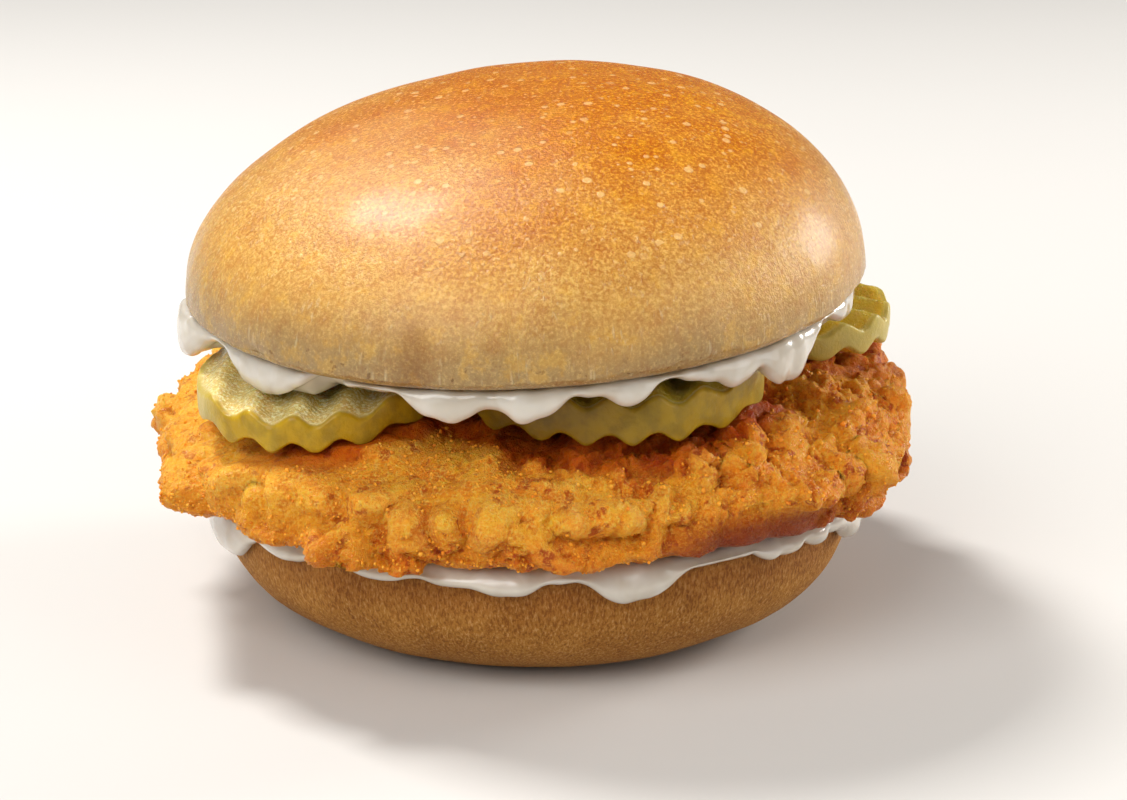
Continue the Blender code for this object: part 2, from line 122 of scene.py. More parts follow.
# Fine breading: the size of each kind of bump and its depth
SWELL_SIZE, SWELL_DEPTH = 7.0, 0.66
FLAKE_SIZE, FLAKE_DEPTH = 3.6, 1.0
CRAG_SIZE, CRAG_DEPTH = 2.4, 0.40
KNOB_SIZE, KNOB_DEPTH = 2.0, 0.45
GRAIN_SIZE, GRAIN_DEPTH = 1.1, 0.24
SAND_SIZE, SAND_DEPTH = 1.0, 0.14

# Bare batter low at the right of the front, the raised seam beside it, and a calmer stretch at
# the left of the front: middle angle, half width in degrees, middle height, half reach up
BARE_PATCH = (-54.0, 15.0, 22.8, 3.5)
SEAM = (-71.0, 1.3, 26.0, 4.2)
CALM_PATCH = (-108.0, 26.0, 30.0, 5.5)

# Crumbs: radius of the smallest, and how far they keep from the box's sides
CRUMB_SMALLEST = 0.13
CRUMB_MARGIN = 1.2

# How far the patty is darkened past each slice, as damp and as a painted shadow of the slice,
# over what width, and how strongly
DAMP_EDGES = ((0.4, 2.2, 1.0), (0.6, 3.0, 1.0), (0.8, 5.0, 0.55))

# Nuggets on the patty's rim: angle, height, reach along, reach up, stand-out
NUGGETS = (
    (-171.0, 24.0, 6.0, 3.6, 1.3), (-162.0, 24.0, 2.0, 3.0, -0.6), (-156.0, 22.5, 4.5, 3.4, 1.2),
    (-143.0, 26.5, 8.0, 2.2, -1.0), (-131.0, 22.3, 4.2, 2.6, 2.4), (-124.5, 22.5, 1.8, 3.0, -1.2),
    (-118.0, 21.8, 3.6, 3.0, 2.6), (-113.0, 26.5, 6.0, 1.8, -0.9), (-108.5, 21.6, 3.2, 3.2, 3.0),
    (-99.0, 21.2, 4.0, 2.4, 1.8), (-86.0, 27.0, 7.0, 2.4, 0.9), (-71.0, 23.0, 2.2, 4.4, 1.7),
    (-58.0, 22.0, 8.0, 2.8, -1.3), (-33.0, 27.0, 7.0, 3.0, 1.2), (-14.0, 24.0, 4.5, 4.0, 1.2),
    (4.0, 28.0, 6.0, 5.0, 1.2), (22.0, 22.0, 4.0, 3.0, 1.8), (40.0, 25.0, 5.0, 4.5, 1.8),
    (54.0, 24.0, 2.5, 4.0, -1.0), (63.0, 27.0, 6.0, 4.0, 1.8), (88.0, 22.0, 4.5, 3.0, 2.4),
    (100.0, 26.0, 5.0, 2.0, -1.0), (112.0, 24.5, 5.0, 4.5, 2.0), (137.0, 21.8, 4.5, 3.0, 2.4),
    (158.0, 26.0, 5.5, 4.0, 1.4),
)

# Crown
CROWN_CENTRE = (-1.5, 0.0)
CROWN_BASE = 46.8
CROWN_RISE_RIGHT = 0.039
CROWN_RISE_BACK = 0.045
CROWN_BACK_SAG = 7.0
CROWN_RADIUS = 49.1
CROWN_CUT_RADIUS = 43.4
CROWN_WIDEST = 2.0
CROWN_HEIGHT = 28.4
CROWN_SIDE_ROUND = 0.87
CROWN_SLOPE_RIGHT = 0.05
CROWN_TALLER_RIGHT = 0.105
CROWN_TALLER_BACK = 0.05
CROWN_LIP_ROUND = 0.8

# Shallow dents and creases at the crown's lower edge: angle, half width, height above
# the cut, half reach up, depth
CROWN_DENTS = (
    (-106.0, 2.0, 5.0, 4.5, 0.55), (-117.0, 1.2, 4.0, 5.0, 0.35), (-128.0, 2.6, 6.0, 5.0, 0.30),
    (-90.0, 1.0, 3.0, 3.5, 0.30), (-64.0, 1.6, 1.6, 1.8, 0.60), (-57.0, 2.4, 1.3, 1.1, 0.70),
    (-74.0, 1.6, 1.2, 1.2, 0.45), (-137.0, 2.6, 1.4, 1.2, 0.45), (-38.0, 1.4, 2.0, 3.0, 0.20),
    (8.0, 1.8, 3.0, 4.0, 0.25), (41.0, 1.2, 5.0, 5.0, 0.35), (83.0, 2.2, 4.0, 4.0, 0.50),
    (121.0, 1.2, 5.0, 6.0, 0.35), (163.0, 2.0, 4.0, 4.5, 0.45),
)

# Pickle slices: node, centre, radii across and along the ridges, ridge turn in degrees,
# thickness, phase of the crinkle in degrees, rise to the right and to the back
Slice = namedtuple("Slice", "node x y across along turn thick phase rise_x rise_y")
SLICES = (
    Slice("pickle_left", -29.4, -17.2, 17.6, 19.8, -6.0, 3.9, 40.0, 0.06, 0.11),
    Slice("pickle_front", 10.4, -21.4, 21.4, 19.6, 0.0, 5.1, 20.0, 0.01, 0.03),
    Slice("pickle_right", 36.0, 7.0, 15.9, 16.2, 62.0, 3.7, 90.0, 0.0, 0.02),
)
CRINKLE_LENGTH = 6.2
CRINKLE_DEPTH = 0.75
SLICE_CORNER = 0.55
SLICE_DROOP = 0.45

# Sauce
UPPER_INNER = 41.0
UPPER_OUTER = 46.0
SAUCE_BACK_LIFT = 2.8
SAUCE_BACK_EDGE = 8.0

# Tongues of the upper sauce: angle, half width in degrees, drop, extra stand-out
UPPER_DRIPS = (
    (-168.0, 9.0, 4.4, 3.4), (-140.0, 10.0, 4.0, 0.4), (-103.5, 5.5, 2.8, 0.5), (-95.0, 7.0, 1.8, 0.2),
    (-87.5, 4.5, 2.8, 0.4), (-76.0, 8.0, 1.0, 0.0), (-71.5, 3.5, 2.0, 0.3), (-55.0, 7.0, 1.8, 0.2),
    (-39.0, 6.4, 5.2, 0.8), (-8.0, 13.0, 3.4, 0.6), (28.0, 8.0, 3.0, 0.6), (52.0, 9.0, 1.4, 0.3),
    (77.0, 7.0, 2.6, 0.8), (104.0, 10.0, 1.2, 0.3), (127.0, 7.0, 2.8, 0.6), (158.0, 8.0, 2.4, 0.8),
    (-124.5, 3.4, -0.6, -4.4), (-50.5, 4.0, 1.7, 0.2), (-43.5, 2.4, 0.7, 0.3), (-31.5, 2.4, 0.6, 0.2),
)

# Tongues of the lower sauce, in the same way
LOWER_DRIPS = (
    (-156.0, 10.0, 5.4, 1.0), (-136.0, 7.0, 1.9, 0.3), (-116.0, 6.0, 1.1, 0.2), (-103.0, 4.0, 0.9, 0.2),
    (-94.0, 5.0, 1.9, 0.5), (-73.5, 7.0, 3.1, 0.7), (-44.0, 5.0, 1.2, 0.5), (-34.0, 4.0, 1.2, 0.4),
    (-17.0, 10.0, 4.4, 1.0), (22.0, 8.0, 1.6, 0.4), (48.0, 6.0, 3.2, 0.8), (79.0, 8.0, 1.5, 0.4),
    (106.0, 6.0, 3.4, 0.8), (141.0, 8.0, 2.2, 0.6), (168.0, 5.0, 1.4, 0.3), (-49.0, 2.4, 0.9, 0.6),
    (-43.5, 2.6, 0.5, 0.7), (-36.5, 3.0, 1.0, 0.8), (-29.0, 3.0, 1.2, 0.6), (-23.0, 3.0, 0.9, 0.5),
)

# Soft boxes: name, way from the burger, distance, width, power and colour, in metres and watts
LIGHTS = (
    ("key", (-0.42, 0.40, 0.85), 0.75, 0.18, 5.6, (1.0, 0.98, 0.96)),
    ("side", (0.84, 0.42, 0.28), 0.80, 0.24, 3.7, (1.0, 0.97, 0.94)),
    ("front", (-0.55, -0.75, 0.78), 1.1, 0.8, 9.7, (1.0, 0.98, 0.96)),
    ("right", (0.86, -0.40, 0.34), 1.0, 0.7, 3.1, (1.0, 0.97, 0.94)),
)
LIGHTS_AIM = Vector((0.0, 0.0, 0.045))
ROOM_LIGHT = 0.16
ROOM_COLOUR = (1.0, 0.98, 0.96, 1.0)
CAMERA_AIM = Vector((0.0040, 0.0, 0.0283))
CAMERA_NEAR = 0.02


def smooth_step(low, high, value):
    """0 below low, 1 above high, and 3t^2 - 2t^3 of the share t between."""
    part = np.clip((value - low) / (high - low), 0.0, 1.0)
    return part * part * (3.0 - 2.0 * part)


def angle_between(first, second):
    """Signed difference of two angles in degrees, within half a turn."""
    return (first - second + 180.0) % 360.0 - 180.0


def repeated(table, cell):
    """A table's entries at whole cells, the table repeated without end along each axis."""
    at = cell % len(table)
    return table[at[..., 0], at[..., 1], at[..., 2]]


def round_bump(degrees, height, radius, centre, half_width, middle, half_reach):
    """exp(-a^2 - b^2) of the way round, on a circle of that radius, and the way up from a
    bump's middle, each counted in its own half size."""
    far = angle_between(degrees, centre) * math.radians(radius) / half_width
    return np.exp(-(far**2) - ((height - middle) / half_reach) ** 2)


def soft_patch(place, degrees, height):
    """exp(-a^4 - b^4) of the angle and the way up from a patch's middle, each counted in its
    own half size: about 1 inside the patch and 0 past it."""
    centre, half_width, middle, half_reach = place
    far = angle_between(degrees, centre) / half_width
    return np.exp(-(far**4) - ((height - middle) / half_reach) ** 4)


def lattice_sum(points, size, table, offset, fade, share):
    """Sum over the eight lattice corners round each point of a share of the table's entry there,
    weighted by the faded way to the opposite corner."""
    cell = points / size + offset
    low = np.floor(cell).astype(int)
    part = cell - low
    faded = fade(part)
    total = np.zeros(points.shape[:-1])
    for corner in product((0, 1), repeat=3):
        step = np.array(corner[::-1])
        weight = np.prod(np.where(step, faded, 1.0 - faded), axis=-1)
        total += weight * share(repeated(table, low + step), part - step)
    return total


def value_noise(points, size, seed):
    """Seeded numbers, 0 to 1, on a lattice of that size, blended by smooth weights between."""
    table = np.random.default_rng(seed).random((24, 24, 24))
    return lattice_sum(points, size, table, 311.0, lambda part: part * part * (3.0 - 2.0 * part),
                       lambda number, way: number)


def slope_noise(points, size, seed):
    """Gradient noise, about -1 to 1: at each lattice corner a seeded slope times the way
    from the corner, blended by quintic weights."""
    slopes = np.random.default_rng(seed).normal(size=(32, 32, 32, 3))
    slopes /= np.linalg.norm(slopes, axis=-1, keepdims=True)
    return 1.7 * lattice_sum(points, size, slopes, 256.0,
                             lambda part: part**3 * (part * (part * 6.0 - 15.0) + 10.0),
                             lambda slope, way: np.sum(slope * way, axis=-1))


def layered_noise(points, size, seed, layers, keep=0.5):
    """Sum of slope_noise at halving sizes, each layer keep times as strong as the last."""
    total = np.zeros(points.shape[:-1])
    for layer in range(layers):
        total += keep**layer * slope_noise(points, size / 2**layer, seed + layer)
    return total


def round_lumps(points, size, seed):
    """Domes on a jittered lattice: 1 minus the squared distance to the nearest seed point,
    counted in its own random radius, and not under 0."""
    draw = np.random.default_rng(seed)
    shift = draw.random((16, 16, 16, 3))
    radius = 0.45 + 0.45 * draw.random((16, 16, 16))
    cell = points / size + 160.0
    low = np.floor(cell).astype(int)
    best = np.zeros(points.shape[:-1])
    for step in product((-1, 0, 1), repeat=3):
        corner = low + step
        far = np.sum((cell - corner - repeated(shift, corner)) ** 2, axis=-1)
        best = np.maximum(best, 1.0 - far / repeated(radius, corner) ** 2)
    return best


def heel_top(x):
    """Height of the heel's cut face: a plane that rises a little to the right."""
    return HEEL_HEIGHT + HEEL_RISE_RIGHT * x


def heel_radius(height):
    """Radius of the heel's side at a height: the base plus the swell times a power of sine."""
    part = np.clip(height / HEEL_HEIGHT, 0.0, 1.0)
    turn = np.arccos((1.0 - part) ** (1.0 / HEEL_SIDE_LIFT))
    return HEEL_BASE_RADIUS + (HEEL_RIM_RADIUS - HEEL_BASE_RADIUS) * np.sin(turn) ** HEEL_SIDE_ROUND


def patty_top(x, y):
    """Height of the patty's top: a plane less a fourth power to each side and a square to the back."""
    fall_x = np.where(x < 0.0, PATTY_TOP_FALL_LEFT, PATTY_TOP_FALL_RIGHT) * (x / PATTY_HALF_WIDTH) ** 4
    fall_y = PATTY_TOP_FALL_Y * (y - PATTY_TOP_PEAK_Y) ** 2
    return PATTY_TOP + PATTY_TOP_RISE_RIGHT * x - fall_x - fall_y


def patty_under(x, y):
    """Lowest height of the patty: flat over the heel, a little higher past its rim."""
    return PATTY_UNDERSIDE + 0.9 * smooth_step(42.0, 46.0, np.hypot(x, y))


def crown_sag(y):
    """How far the crown's cut face sags towards the back: a square of the way back."""
    return CROWN_BACK_SAG * np.clip(y / CROWN_RADIUS, 0.0, 1.1) ** 2


def crown_base(x, y):
    """Height of the crown's cut face: a tilted plane less the sag at the back."""
    return CROWN_BASE + CROWN_RISE_RIGHT * x + CROWN_RISE_BACK * y - crown_sag(y)


def crown_lip(x, y):
    """Height of the crown's underside past the cut, where the crust curls up to its widest."""
    reach = np.hypot(x - CROWN_CENTRE[0], y - CROWN_CENTRE[1]) - CROWN_CUT_RADIUS
    part = np.clip(reach / (CROWN_RADIUS - CROWN_CUT_RADIUS), 0.0, 1.0)
    curl = np.arcsin(part ** (1.0 / CROWN_LIP_ROUND))
    return crown_base(x, y) + CROWN_WIDEST * (1.0 - np.cos(curl))


def slice_frame(entry, x, y):
    """Across-ridge and along-ridge coordinates of a point on a slice."""
    turn = math.radians(entry.turn)
    east, north = x - entry.x, y - entry.y
    across = east * math.cos(turn) + north * math.sin(turn)
    along = -east * math.sin(turn) + north * math.cos(turn)
    return across, along


def slice_cover(entry, points, margin, blend):
    """1 over a slice grown by a margin, falling to 0 over the blend width."""
    across, along = slice_frame(entry, points[..., 0], points[..., 1])
    ratio = np.hypot(across / entry.across, along / entry.along)
    beyond = (ratio - 1.0) * 0.5 * (entry.across + entry.along)
    return 1.0 - smooth_step(margin, margin + blend, beyond)


def slice_plane(entry, x, y):
    """Height of a slice's tilted plane over its own middle."""
    return entry.rise_x * (x - entry.x) + entry.rise_y * (y - entry.y)


def slice_seat(entry):
    """Height at which a slice's middle rests, so that the stiff disc just clears the patty."""
    angle, reach = np.meshgrid(np.linspace(0.0, 2.0 * math.pi, 48), np.linspace(0.0, 1.0, 9))
    x = entry.x + entry.across * reach * np.cos(angle)
    y = entry.y + entry.along * reach * np.sin(angle)
    return np.max(patty_top(x, y) - slice_plane(entry, x, y)) + GAP + CRINKLE_DEPTH + 0.5 * entry.thick


SEATS = {entry.node: slice_seat(entry) for entry in SLICES}


def slice_middle(entry, x, y):
    """Height of a slice's middle surface without its crinkle."""
    return SEATS[entry.node] + slice_plane(entry, x, y)


def slice_crest(entry, x, y):
    """Height that just clears the crests of a slice."""
    return slice_middle(entry, x, y) + 0.5 * entry.thick + CRINKLE_DEPTH + GAP


def sauce_floor(x, y):
    """Underside of the upper sauce: over the slices, and down near the patty behind them."""
    left, front, right = [slice_crest(entry, x, y) for entry in SLICES]
    west, south, east = SLICES
    toward = math.atan2(east.y - south.y, east.x - south.x)
    ahead = (x - south.x) * math.cos(toward) + (y - south.y) * math.sin(toward)
    to_right = smooth_step(south.along + 1.5, south.across + 3.0, ahead)
    to_left = 1.0 - smooth_step(west.x + 0.5 * west.across, west.x + 0.9 * west.across, x)
    floor = front * (1.0 - to_right) + right * to_right
    floor = floor * (1.0 - to_left) + left * to_left
    back_edge = SAUCE_BACK_EDGE + 16.0 * smooth_step(8.0, 18.0, x)
    behind = smooth_step(back_edge, back_edge + 15.0, y)
    return floor * (1.0 - behind) + (patty_top(x, y) + SAUCE_BACK_LIFT) * behind


def drips_at(drips, degrees):
    """Drop and stand-out of the sauce at each angle: tongues of exp(-|t|^3.2), summed."""
    drop = np.zeros_like(degrees)
    proud = np.zeros_like(degrees)
    for centre, width, depth, out in drips:
        shape = np.exp(-np.abs(angle_between(degrees, centre) / width) ** 3.2)
        drop += depth * shape
        proud += out * shape
    return drop, proud


def surface_normals(points):
    """Outward unit normals of rings of points: the cross product of the way round and the way up."""
    around = np.roll(points, -1, axis=1) - np.roll(points, 1, axis=1)
    upward = np.gradient(points, axis=0)
    normal = np.cross(around, upward)
    return normal / np.maximum(np.linalg.norm(normal, axis=-1, keepdims=True), 1e-9)


def raised(points, depth):
    """Rings of points moved out along their normals by a depth."""
    return points + surface_normals(points) * depth[..., None]


def even_rings(radius, height, count, weight):
    """Resample a section so that the weighted way along it is the same from ring to ring.

    radius, height and weight are arrays along the section; returns fractional
    places on it, to be read with np.interp.
    """
    step = np.hypot(np.diff(radius), np.diff(height)) * 0.5 * (weight[1:] + weight[:-1])
    way = np.concatenate([[0.0], np.cumsum(step)])
    return np.interp(np.linspace(0.0, way[-1], count), way, np.arange(len(radius)))


def spline_rings(controls, samples):
    """Uniform cubic B-spline through stacks of control rings, its two ends held.

    controls is an array (rings, segments, values).  Each new ring is the blend of
    four neighbouring ones by the four cubic basis weights.
    """
    first = 2.0 * controls[:1] - controls[1:2]
    last = 2.0 * controls[-1:] - controls[-2:-1]
    padded = np.concatenate([first, controls, last])
    place = np.linspace(0.0, len(controls) - 1.0, samples)
    low = np.minimum(place.astype(int), len(controls) - 2)
    t = (place - low)[:, None, None]
    weights = ((1.0 - t) ** 3, 3.0 * t**3 - 6.0 * t**2 + 4.0,
               -3.0 * t**3 + 3.0 * t**2 + 3.0 * t + 1.0, t**3)
    return sum(weight * padded[low + k] for k, weight in enumerate(weights)) / 6.0


def closed_mesh(name, rings, values=None):
    """Mesh of rings of points, anticlockwise from above, closed by a fan at each end.

    rings is an array (rings, segments, 3) from the bottom up, and values holds
    named arrays (rings, segments) that become point attributes.
    """
    rows, columns = rings.shape[:2]
    count = rows * columns
    points = np.concatenate([rings.reshape(-1, 3), [rings[0].mean(axis=0), rings[-1].mean(axis=0)]]) * MM
    index = np.arange(count).reshape(rows, columns)
    after = np.roll(index, -1, axis=1)
    quads = np.stack([index[:-1], after[:-1], after[1:], index[1:]], axis=-1).reshape(-1, 4)
    under = np.stack([np.full(columns, count), after[0], index[0]], axis=-1)
    over = np.stack([np.full(columns, count + 1), index[-1], after[-1]], axis=-1)
    corners = np.concatenate([quads.ravel(), under.ravel(), over.ravel()])
    sizes = np.concatenate([np.full(len(quads), 4), np.full(2 * columns, 3)])
    mesh = mesh_from_arrays(name, points, corners, sizes)
    for key, field in (values or {}).items():
        ends = [field[0].mean(), field[-1].mean()]
        attribute = mesh.attributes.new(key, "FLOAT", "POINT")
        attribute.data.foreach_set("value", np.concatenate([field.ravel(), ends]).astype(np.float32))
    return mesh


def mesh_from_arrays(name, points, corners, sizes):
    """A smooth mesh from its points, the corner indices of its faces and the faces' sizes."""
    mesh = bpy.data.meshes.new(name)
    mesh.vertices.add(len(points))
    mesh.vertices.foreach_set("co", points.astype(np.float32).ravel())
    mesh.loops.add(len(corners))
    mesh.loops.foreach_set("vertex_index", corners.astype(np.int32))
    mesh.polygons.add(len(sizes))
    starts = np.concatenate([[0], np.cumsum(sizes)[:-1]])
    mesh.polygons.foreach_set("loop_start", starts.astype(np.int32))
    mesh.update(calc_edges=True)
    mesh.validate()
    mesh.shade_smooth()
    return mesh


def add_piece(mesh, material, node=None):
    """Put a finished mesh in the scene as a piece that rides on the burger."""
    mesh.materials.append(material)
    piece = bpy.data.objects.new(mesh.name, mesh)
    bpy.context.scene.collection.objects.link(piece)
    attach(piece, "root")
    if node:
        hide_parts(node)


def ring_angles(segments):
    """Angles of the points of a ring, one full turn from -180 degrees."""
    return np.linspace(-math.pi, math.pi, segments, endpoint=False)


def heel_rings():
    """Heel: a flat underside, a side that swells out by powers of sine and cosine of one turn,
    and the cut face."""
    angle = ring_angles(HEEL_POINTS)
    under = np.linspace(0.04, 0.97, 8) * HEEL_BASE_RADIUS
    turn = np.linspace(0.0, 0.5 * math.pi, 90)
    side = HEEL_BASE_RADIUS + (HEEL_RIM_RADIUS - HEEL_BASE_RADIUS) * np.sin(turn) ** HEEL_SIDE_ROUND
    rise = HEEL_HEIGHT * (1.0 - np.cos(turn) ** HEEL_SIDE_LIFT)
    over = np.linspace(0.985, 0.04, 10) * HEEL_RIM_RADIUS
    radius = np.concatenate([under, side, over])[:, None]
    height = np.concatenate([0.0 * under, rise, 0.0 * over + HEEL_HEIGHT])[:, None]
    x, y = radius * np.cos(angle), radius * np.sin(angle)
    z = height + HEEL_RISE_RIGHT * x * height / HEEL_HEIGHT
    points = np.stack([x, y, z + 0.0 * x], axis=-1)
    sunk = 0.22 * (1.0 + layered_noise(points, 16.0, SEED + 50, 3))
    sunk *= smooth_step(0.3, 3.0, z) * smooth_step(0.0, 1.0, HEEL_HEIGHT - z)
    return raised(points, -np.clip(sunk, 0.0, 0.6))


def crown_rings():
    """Crown: the cut face, a lip that curls up, then a dome whose radius is a power of the
    cosine and whose height is the sine of its rise, leant and sagged onto its base."""
    angle = ring_angles(CROWN_POINTS)
    under = np.linspace(0.04, 0.97, 8) * CROWN_CUT_RADIUS
    curl = np.linspace(0.0, 0.5 * math.pi, 22)
    rise = np.linspace(0.0, 0.5 * math.pi, 132)[1:-1]
    lip = CROWN_CUT_RADIUS + (CROWN_RADIUS - CROWN_CUT_RADIUS) * np.sin(curl) ** CROWN_LIP_ROUND
    round_right = CROWN_SIDE_ROUND + CROWN_SLOPE_RIGHT * np.clip(np.cos(angle), 0.0, 1.0)
    dome = CROWN_RADIUS * np.cos(rise)[:, None] ** round_right
    flat = np.ones_like(angle)
    radius = np.concatenate([under[:, None] * flat, lip[:, None] * flat, dome])
    height = np.concatenate([0.0 * under, CROWN_WIDEST * (1.0 - np.cos(curl)),
                             CROWN_WIDEST + (CROWN_HEIGHT - CROWN_WIDEST) * np.sin(rise)])[:, None]
    tilt = CROWN_TALLER_RIGHT * np.cos(angle) + CROWN_TALLER_BACK * np.sin(angle)
    height = height * (1.0 + tilt * radius / CROWN_RADIUS)
    x = CROWN_CENTRE[0] + radius * np.cos(angle) - CROWN_RISE_RIGHT * height
    y = CROWN_CENTRE[1] + radius * np.sin(angle) - CROWN_RISE_BACK * height
    unsag = crown_sag(y) * smooth_step(0.0, CROWN_HEIGHT, height)
    points = np.stack([x, y, height + crown_base(x, y) + unsag], axis=-1)
    side = 1.0 - smooth_step(4.0, 17.0, height)
    round_way = np.stack([34.0 * np.cos(angle) + 0.0 * height, 34.0 * np.sin(angle) + 0.0 * height,
                          0.16 * height], axis=-1)
    sunk = 0.30 * (1.0 + layered_noise(points, 21.0, SEED + 60, 2))
    sunk += 0.22 * side * np.abs(layered_noise(round_way, 5.2, SEED + 64, 3))
    for centre, wide, middle, high, depth in CROWN_DENTS:
        sunk += depth * round_bump(np.degrees(angle), height, CROWN_RADIUS, centre, wide, middle, high)
    sunk *= smooth_step(0.02, 1.2, height)
    return raised(points, -np.clip(sunk, 0.0, 1.3))


def patty_section():
    """Ring turns of the patty, crowded where the breading shows and sparse where it is hidden."""
    turn = np.linspace(-0.4995 * math.pi, 0.4995 * math.pi, 4001)
    out = np.cos(turn) ** (2.0 / PATTY_POWER)
    up = np.sign(turn) * np.abs(np.sin(turn)) ** (2.0 / PATTY_POWER)
    weight = 0.12 + 0.88 * smooth_step(0.36, 0.56, out)
    place = even_rings(52.0 * out, 8.0 * up, PATTY_RINGS, weight)
    return np.interp(place, np.arange(len(turn)), turn)


def patty_base(angle, turn):
    """Patty before its fine breading: superellipse outline and section, two sizes of lumps
    and the nuggets, as in its solid."""
    outline = (np.abs(np.cos(angle) / PATTY_HALF_WIDTH) ** PATTY_SQUARE
               + np.abs(np.sin(angle) / PATTY_HALF_DEPTH) ** PATTY_SQUARE) ** (-1.0 / PATTY_SQUARE)
    to_left = smooth_step(0.55, 0.95, -np.cos(angle))
    power = 2.0 / (PATTY_POWER + (PATTY_LEFT_POWER - PATTY_POWER) * to_left)
    out = np.clip(np.cos(turn), 0.0, 1.0)[:, None] ** power
    up = np.sign(turn)[:, None] * np.abs(np.sin(turn))[:, None] ** power
    x = PATTY_CENTRE[0] + outline * out * np.cos(angle)
    y = PATTY_CENTRE[1] + outline * out * np.sin(angle)
    top = patty_top(x, y)
    waist = PATTY_UNDERSIDE + PATTY_WAIST * (top - PATTY_UNDERSIDE)
    height = waist + np.where(up > 0.0, (top - waist) * up, (waist - PATTY_UNDERSIDE) * up)
    points = np.stack([x, y, height], axis=-1)
    broad = value_noise(points, 2.0 * LUMP_SIZE, SEED)
    lumps = np.abs(2.0 * value_noise(points, LUMP_SIZE, SEED + 1) - 1.0)
    push = PATTY_RELIEF * (0.8 * (broad - 0.5) + 1.2 * (lumps - 0.4))
    spread = np.sqrt(np.clip(1.0 - up * up, 0.0, 1.0))
    degrees = np.degrees(angle)
    for centre, middle, along, high, out_by in NUGGETS:
        nugget = round_bump(degrees, height, PATTY_HALF_DEPTH, centre, along, middle, high)
        push = push + out_by * nugget * (spread > 0.05)
    push = push * smooth_step(*PATTY_CALM, np.hypot(x, y))
    push = push * (1.0 - 0.7 * soft_patch(BARE_PATCH, degrees, height))
    outward = np.clip(spread * 1.4, 0.0, 1.0)
    points[..., 0] += push * np.cos(angle) * outward
    points[..., 1] += push * np.sin(angle) * outward
    points[..., 2] += push * up * (1.0 - 0.6 * outward)
    return points


def breading_relief(points):
    """Fine breading, in millimetres along the normal, and where the batter is bare.

    Soft swells everywhere; steep little flakes and crags where the coat is rough, mostly to
    the right; grains are small domes, and a bare patch has little of any of them.
    """
    warp = np.stack([slope_noise(points, 4.5, SEED + 70 + k) for k in range(3)], axis=-1)
    bent = points + 1.1 * warp
    degrees = np.degrees(np.arctan2(points[..., 1], points[..., 0]))
    height = points[..., 2]
    patch = soft_patch(BARE_PATCH, degrees, height)
    calm = soft_patch(CALM_PATCH, degrees, height)
    centre, half_width, middle, half_reach = SEAM
    lean = angle_between(degrees, centre + 0.5 * (height - middle)) / half_width
    seam = np.exp(-(lean**2) - ((height - middle) / half_reach) ** 4)
    smooth_places = smooth_step(0.30, 0.62, layered_noise(points, 13.0, SEED + 88, 2))
    smooth_places = smooth_places * smooth_step(-30.0, -8.0, points[..., 0])
    bare = np.clip(patch + 0.12 * smooth_places, 0.0, 1.0)
    craggy = smooth_step(-0.45, 0.30, layered_noise(points, 15.0, SEED + 90, 2) + 0.012 * points[..., 0])
    craggy = (0.35 + 0.65 * craggy) * (1.0 - 0.6 * calm) * (1.0 - 0.9 * bare)
    swells = layered_noise(bent * (0.75, 0.75, 1.35), SWELL_SIZE, SEED + 72, 2)
    flakes = smooth_step(-0.08, 0.16, layered_noise(bent * (0.85, 0.85, 1.2), FLAKE_SIZE, SEED + 74, 3, 0.6))
    crags = 1.0 - 2.0 * np.abs(layered_noise(bent, CRAG_SIZE, SEED + 78, 2))
    knobs = round_lumps(bent, KNOB_SIZE, SEED + 82)
    grains = round_lumps(points, GRAIN_SIZE, SEED + 83)
    sand = layered_noise(points, SAND_SIZE, SEED + 84, 2, 0.7)
    rough = FLAKE_DEPTH * (flakes - 0.5) + CRAG_DEPTH * crags + KNOB_DEPTH * (knobs - 0.3)
    relief = SWELL_DEPTH * swells + craggy * rough
    relief += (1.0 - 0.8 * bare) * (GRAIN_DEPTH * grains + SAND_DEPTH * sand) + 0.9 * seam - 0.3 * patch
    return relief, bare


def patty_rings():
    """The patty with its breading, kept clear of the sauce below and the slices above, its
    relief, where it is bare, and where it is damp and in painted shadow round the slices."""
    angle = ring_angles(PATTY_POINTS)
    points = patty_base(angle, patty_section())
    relief, bare = breading_relief(points)
    reach = np.hypot(points[..., 0], points[..., 1])
    relief = relief * smooth_step(20.0, 30.0, reach)
    points = raised(points, relief)
    points[..., 2] = np.maximum(points[..., 2], patty_under(points[..., 0], points[..., 1]))
    for entry in SLICES:
        under = slice_middle(entry, points[..., 0], points[..., 1]) - 0.5 * entry.thick - CRINKLE_DEPTH
        cover = slice_cover(entry, points, 0.3, 2.0)
        points[..., 2] -= np.maximum(points[..., 2] - under + 0.1, 0.0) * cover
    points[..., :2] = np.clip(points[..., :2], BOX_LOW[:2] + BOX_MARGIN, BOX_HIGH[:2] - BOX_MARGIN)
    damp = np.zeros_like(relief)
    for entry, (margin, blend, share) in zip(SLICES, DAMP_EDGES):
        damp = np.maximum(damp, share * slice_cover(entry, points, margin, blend))
    damp *= smooth_step(29.0, 32.5, points[..., 2])
    return points, relief, bare, damp


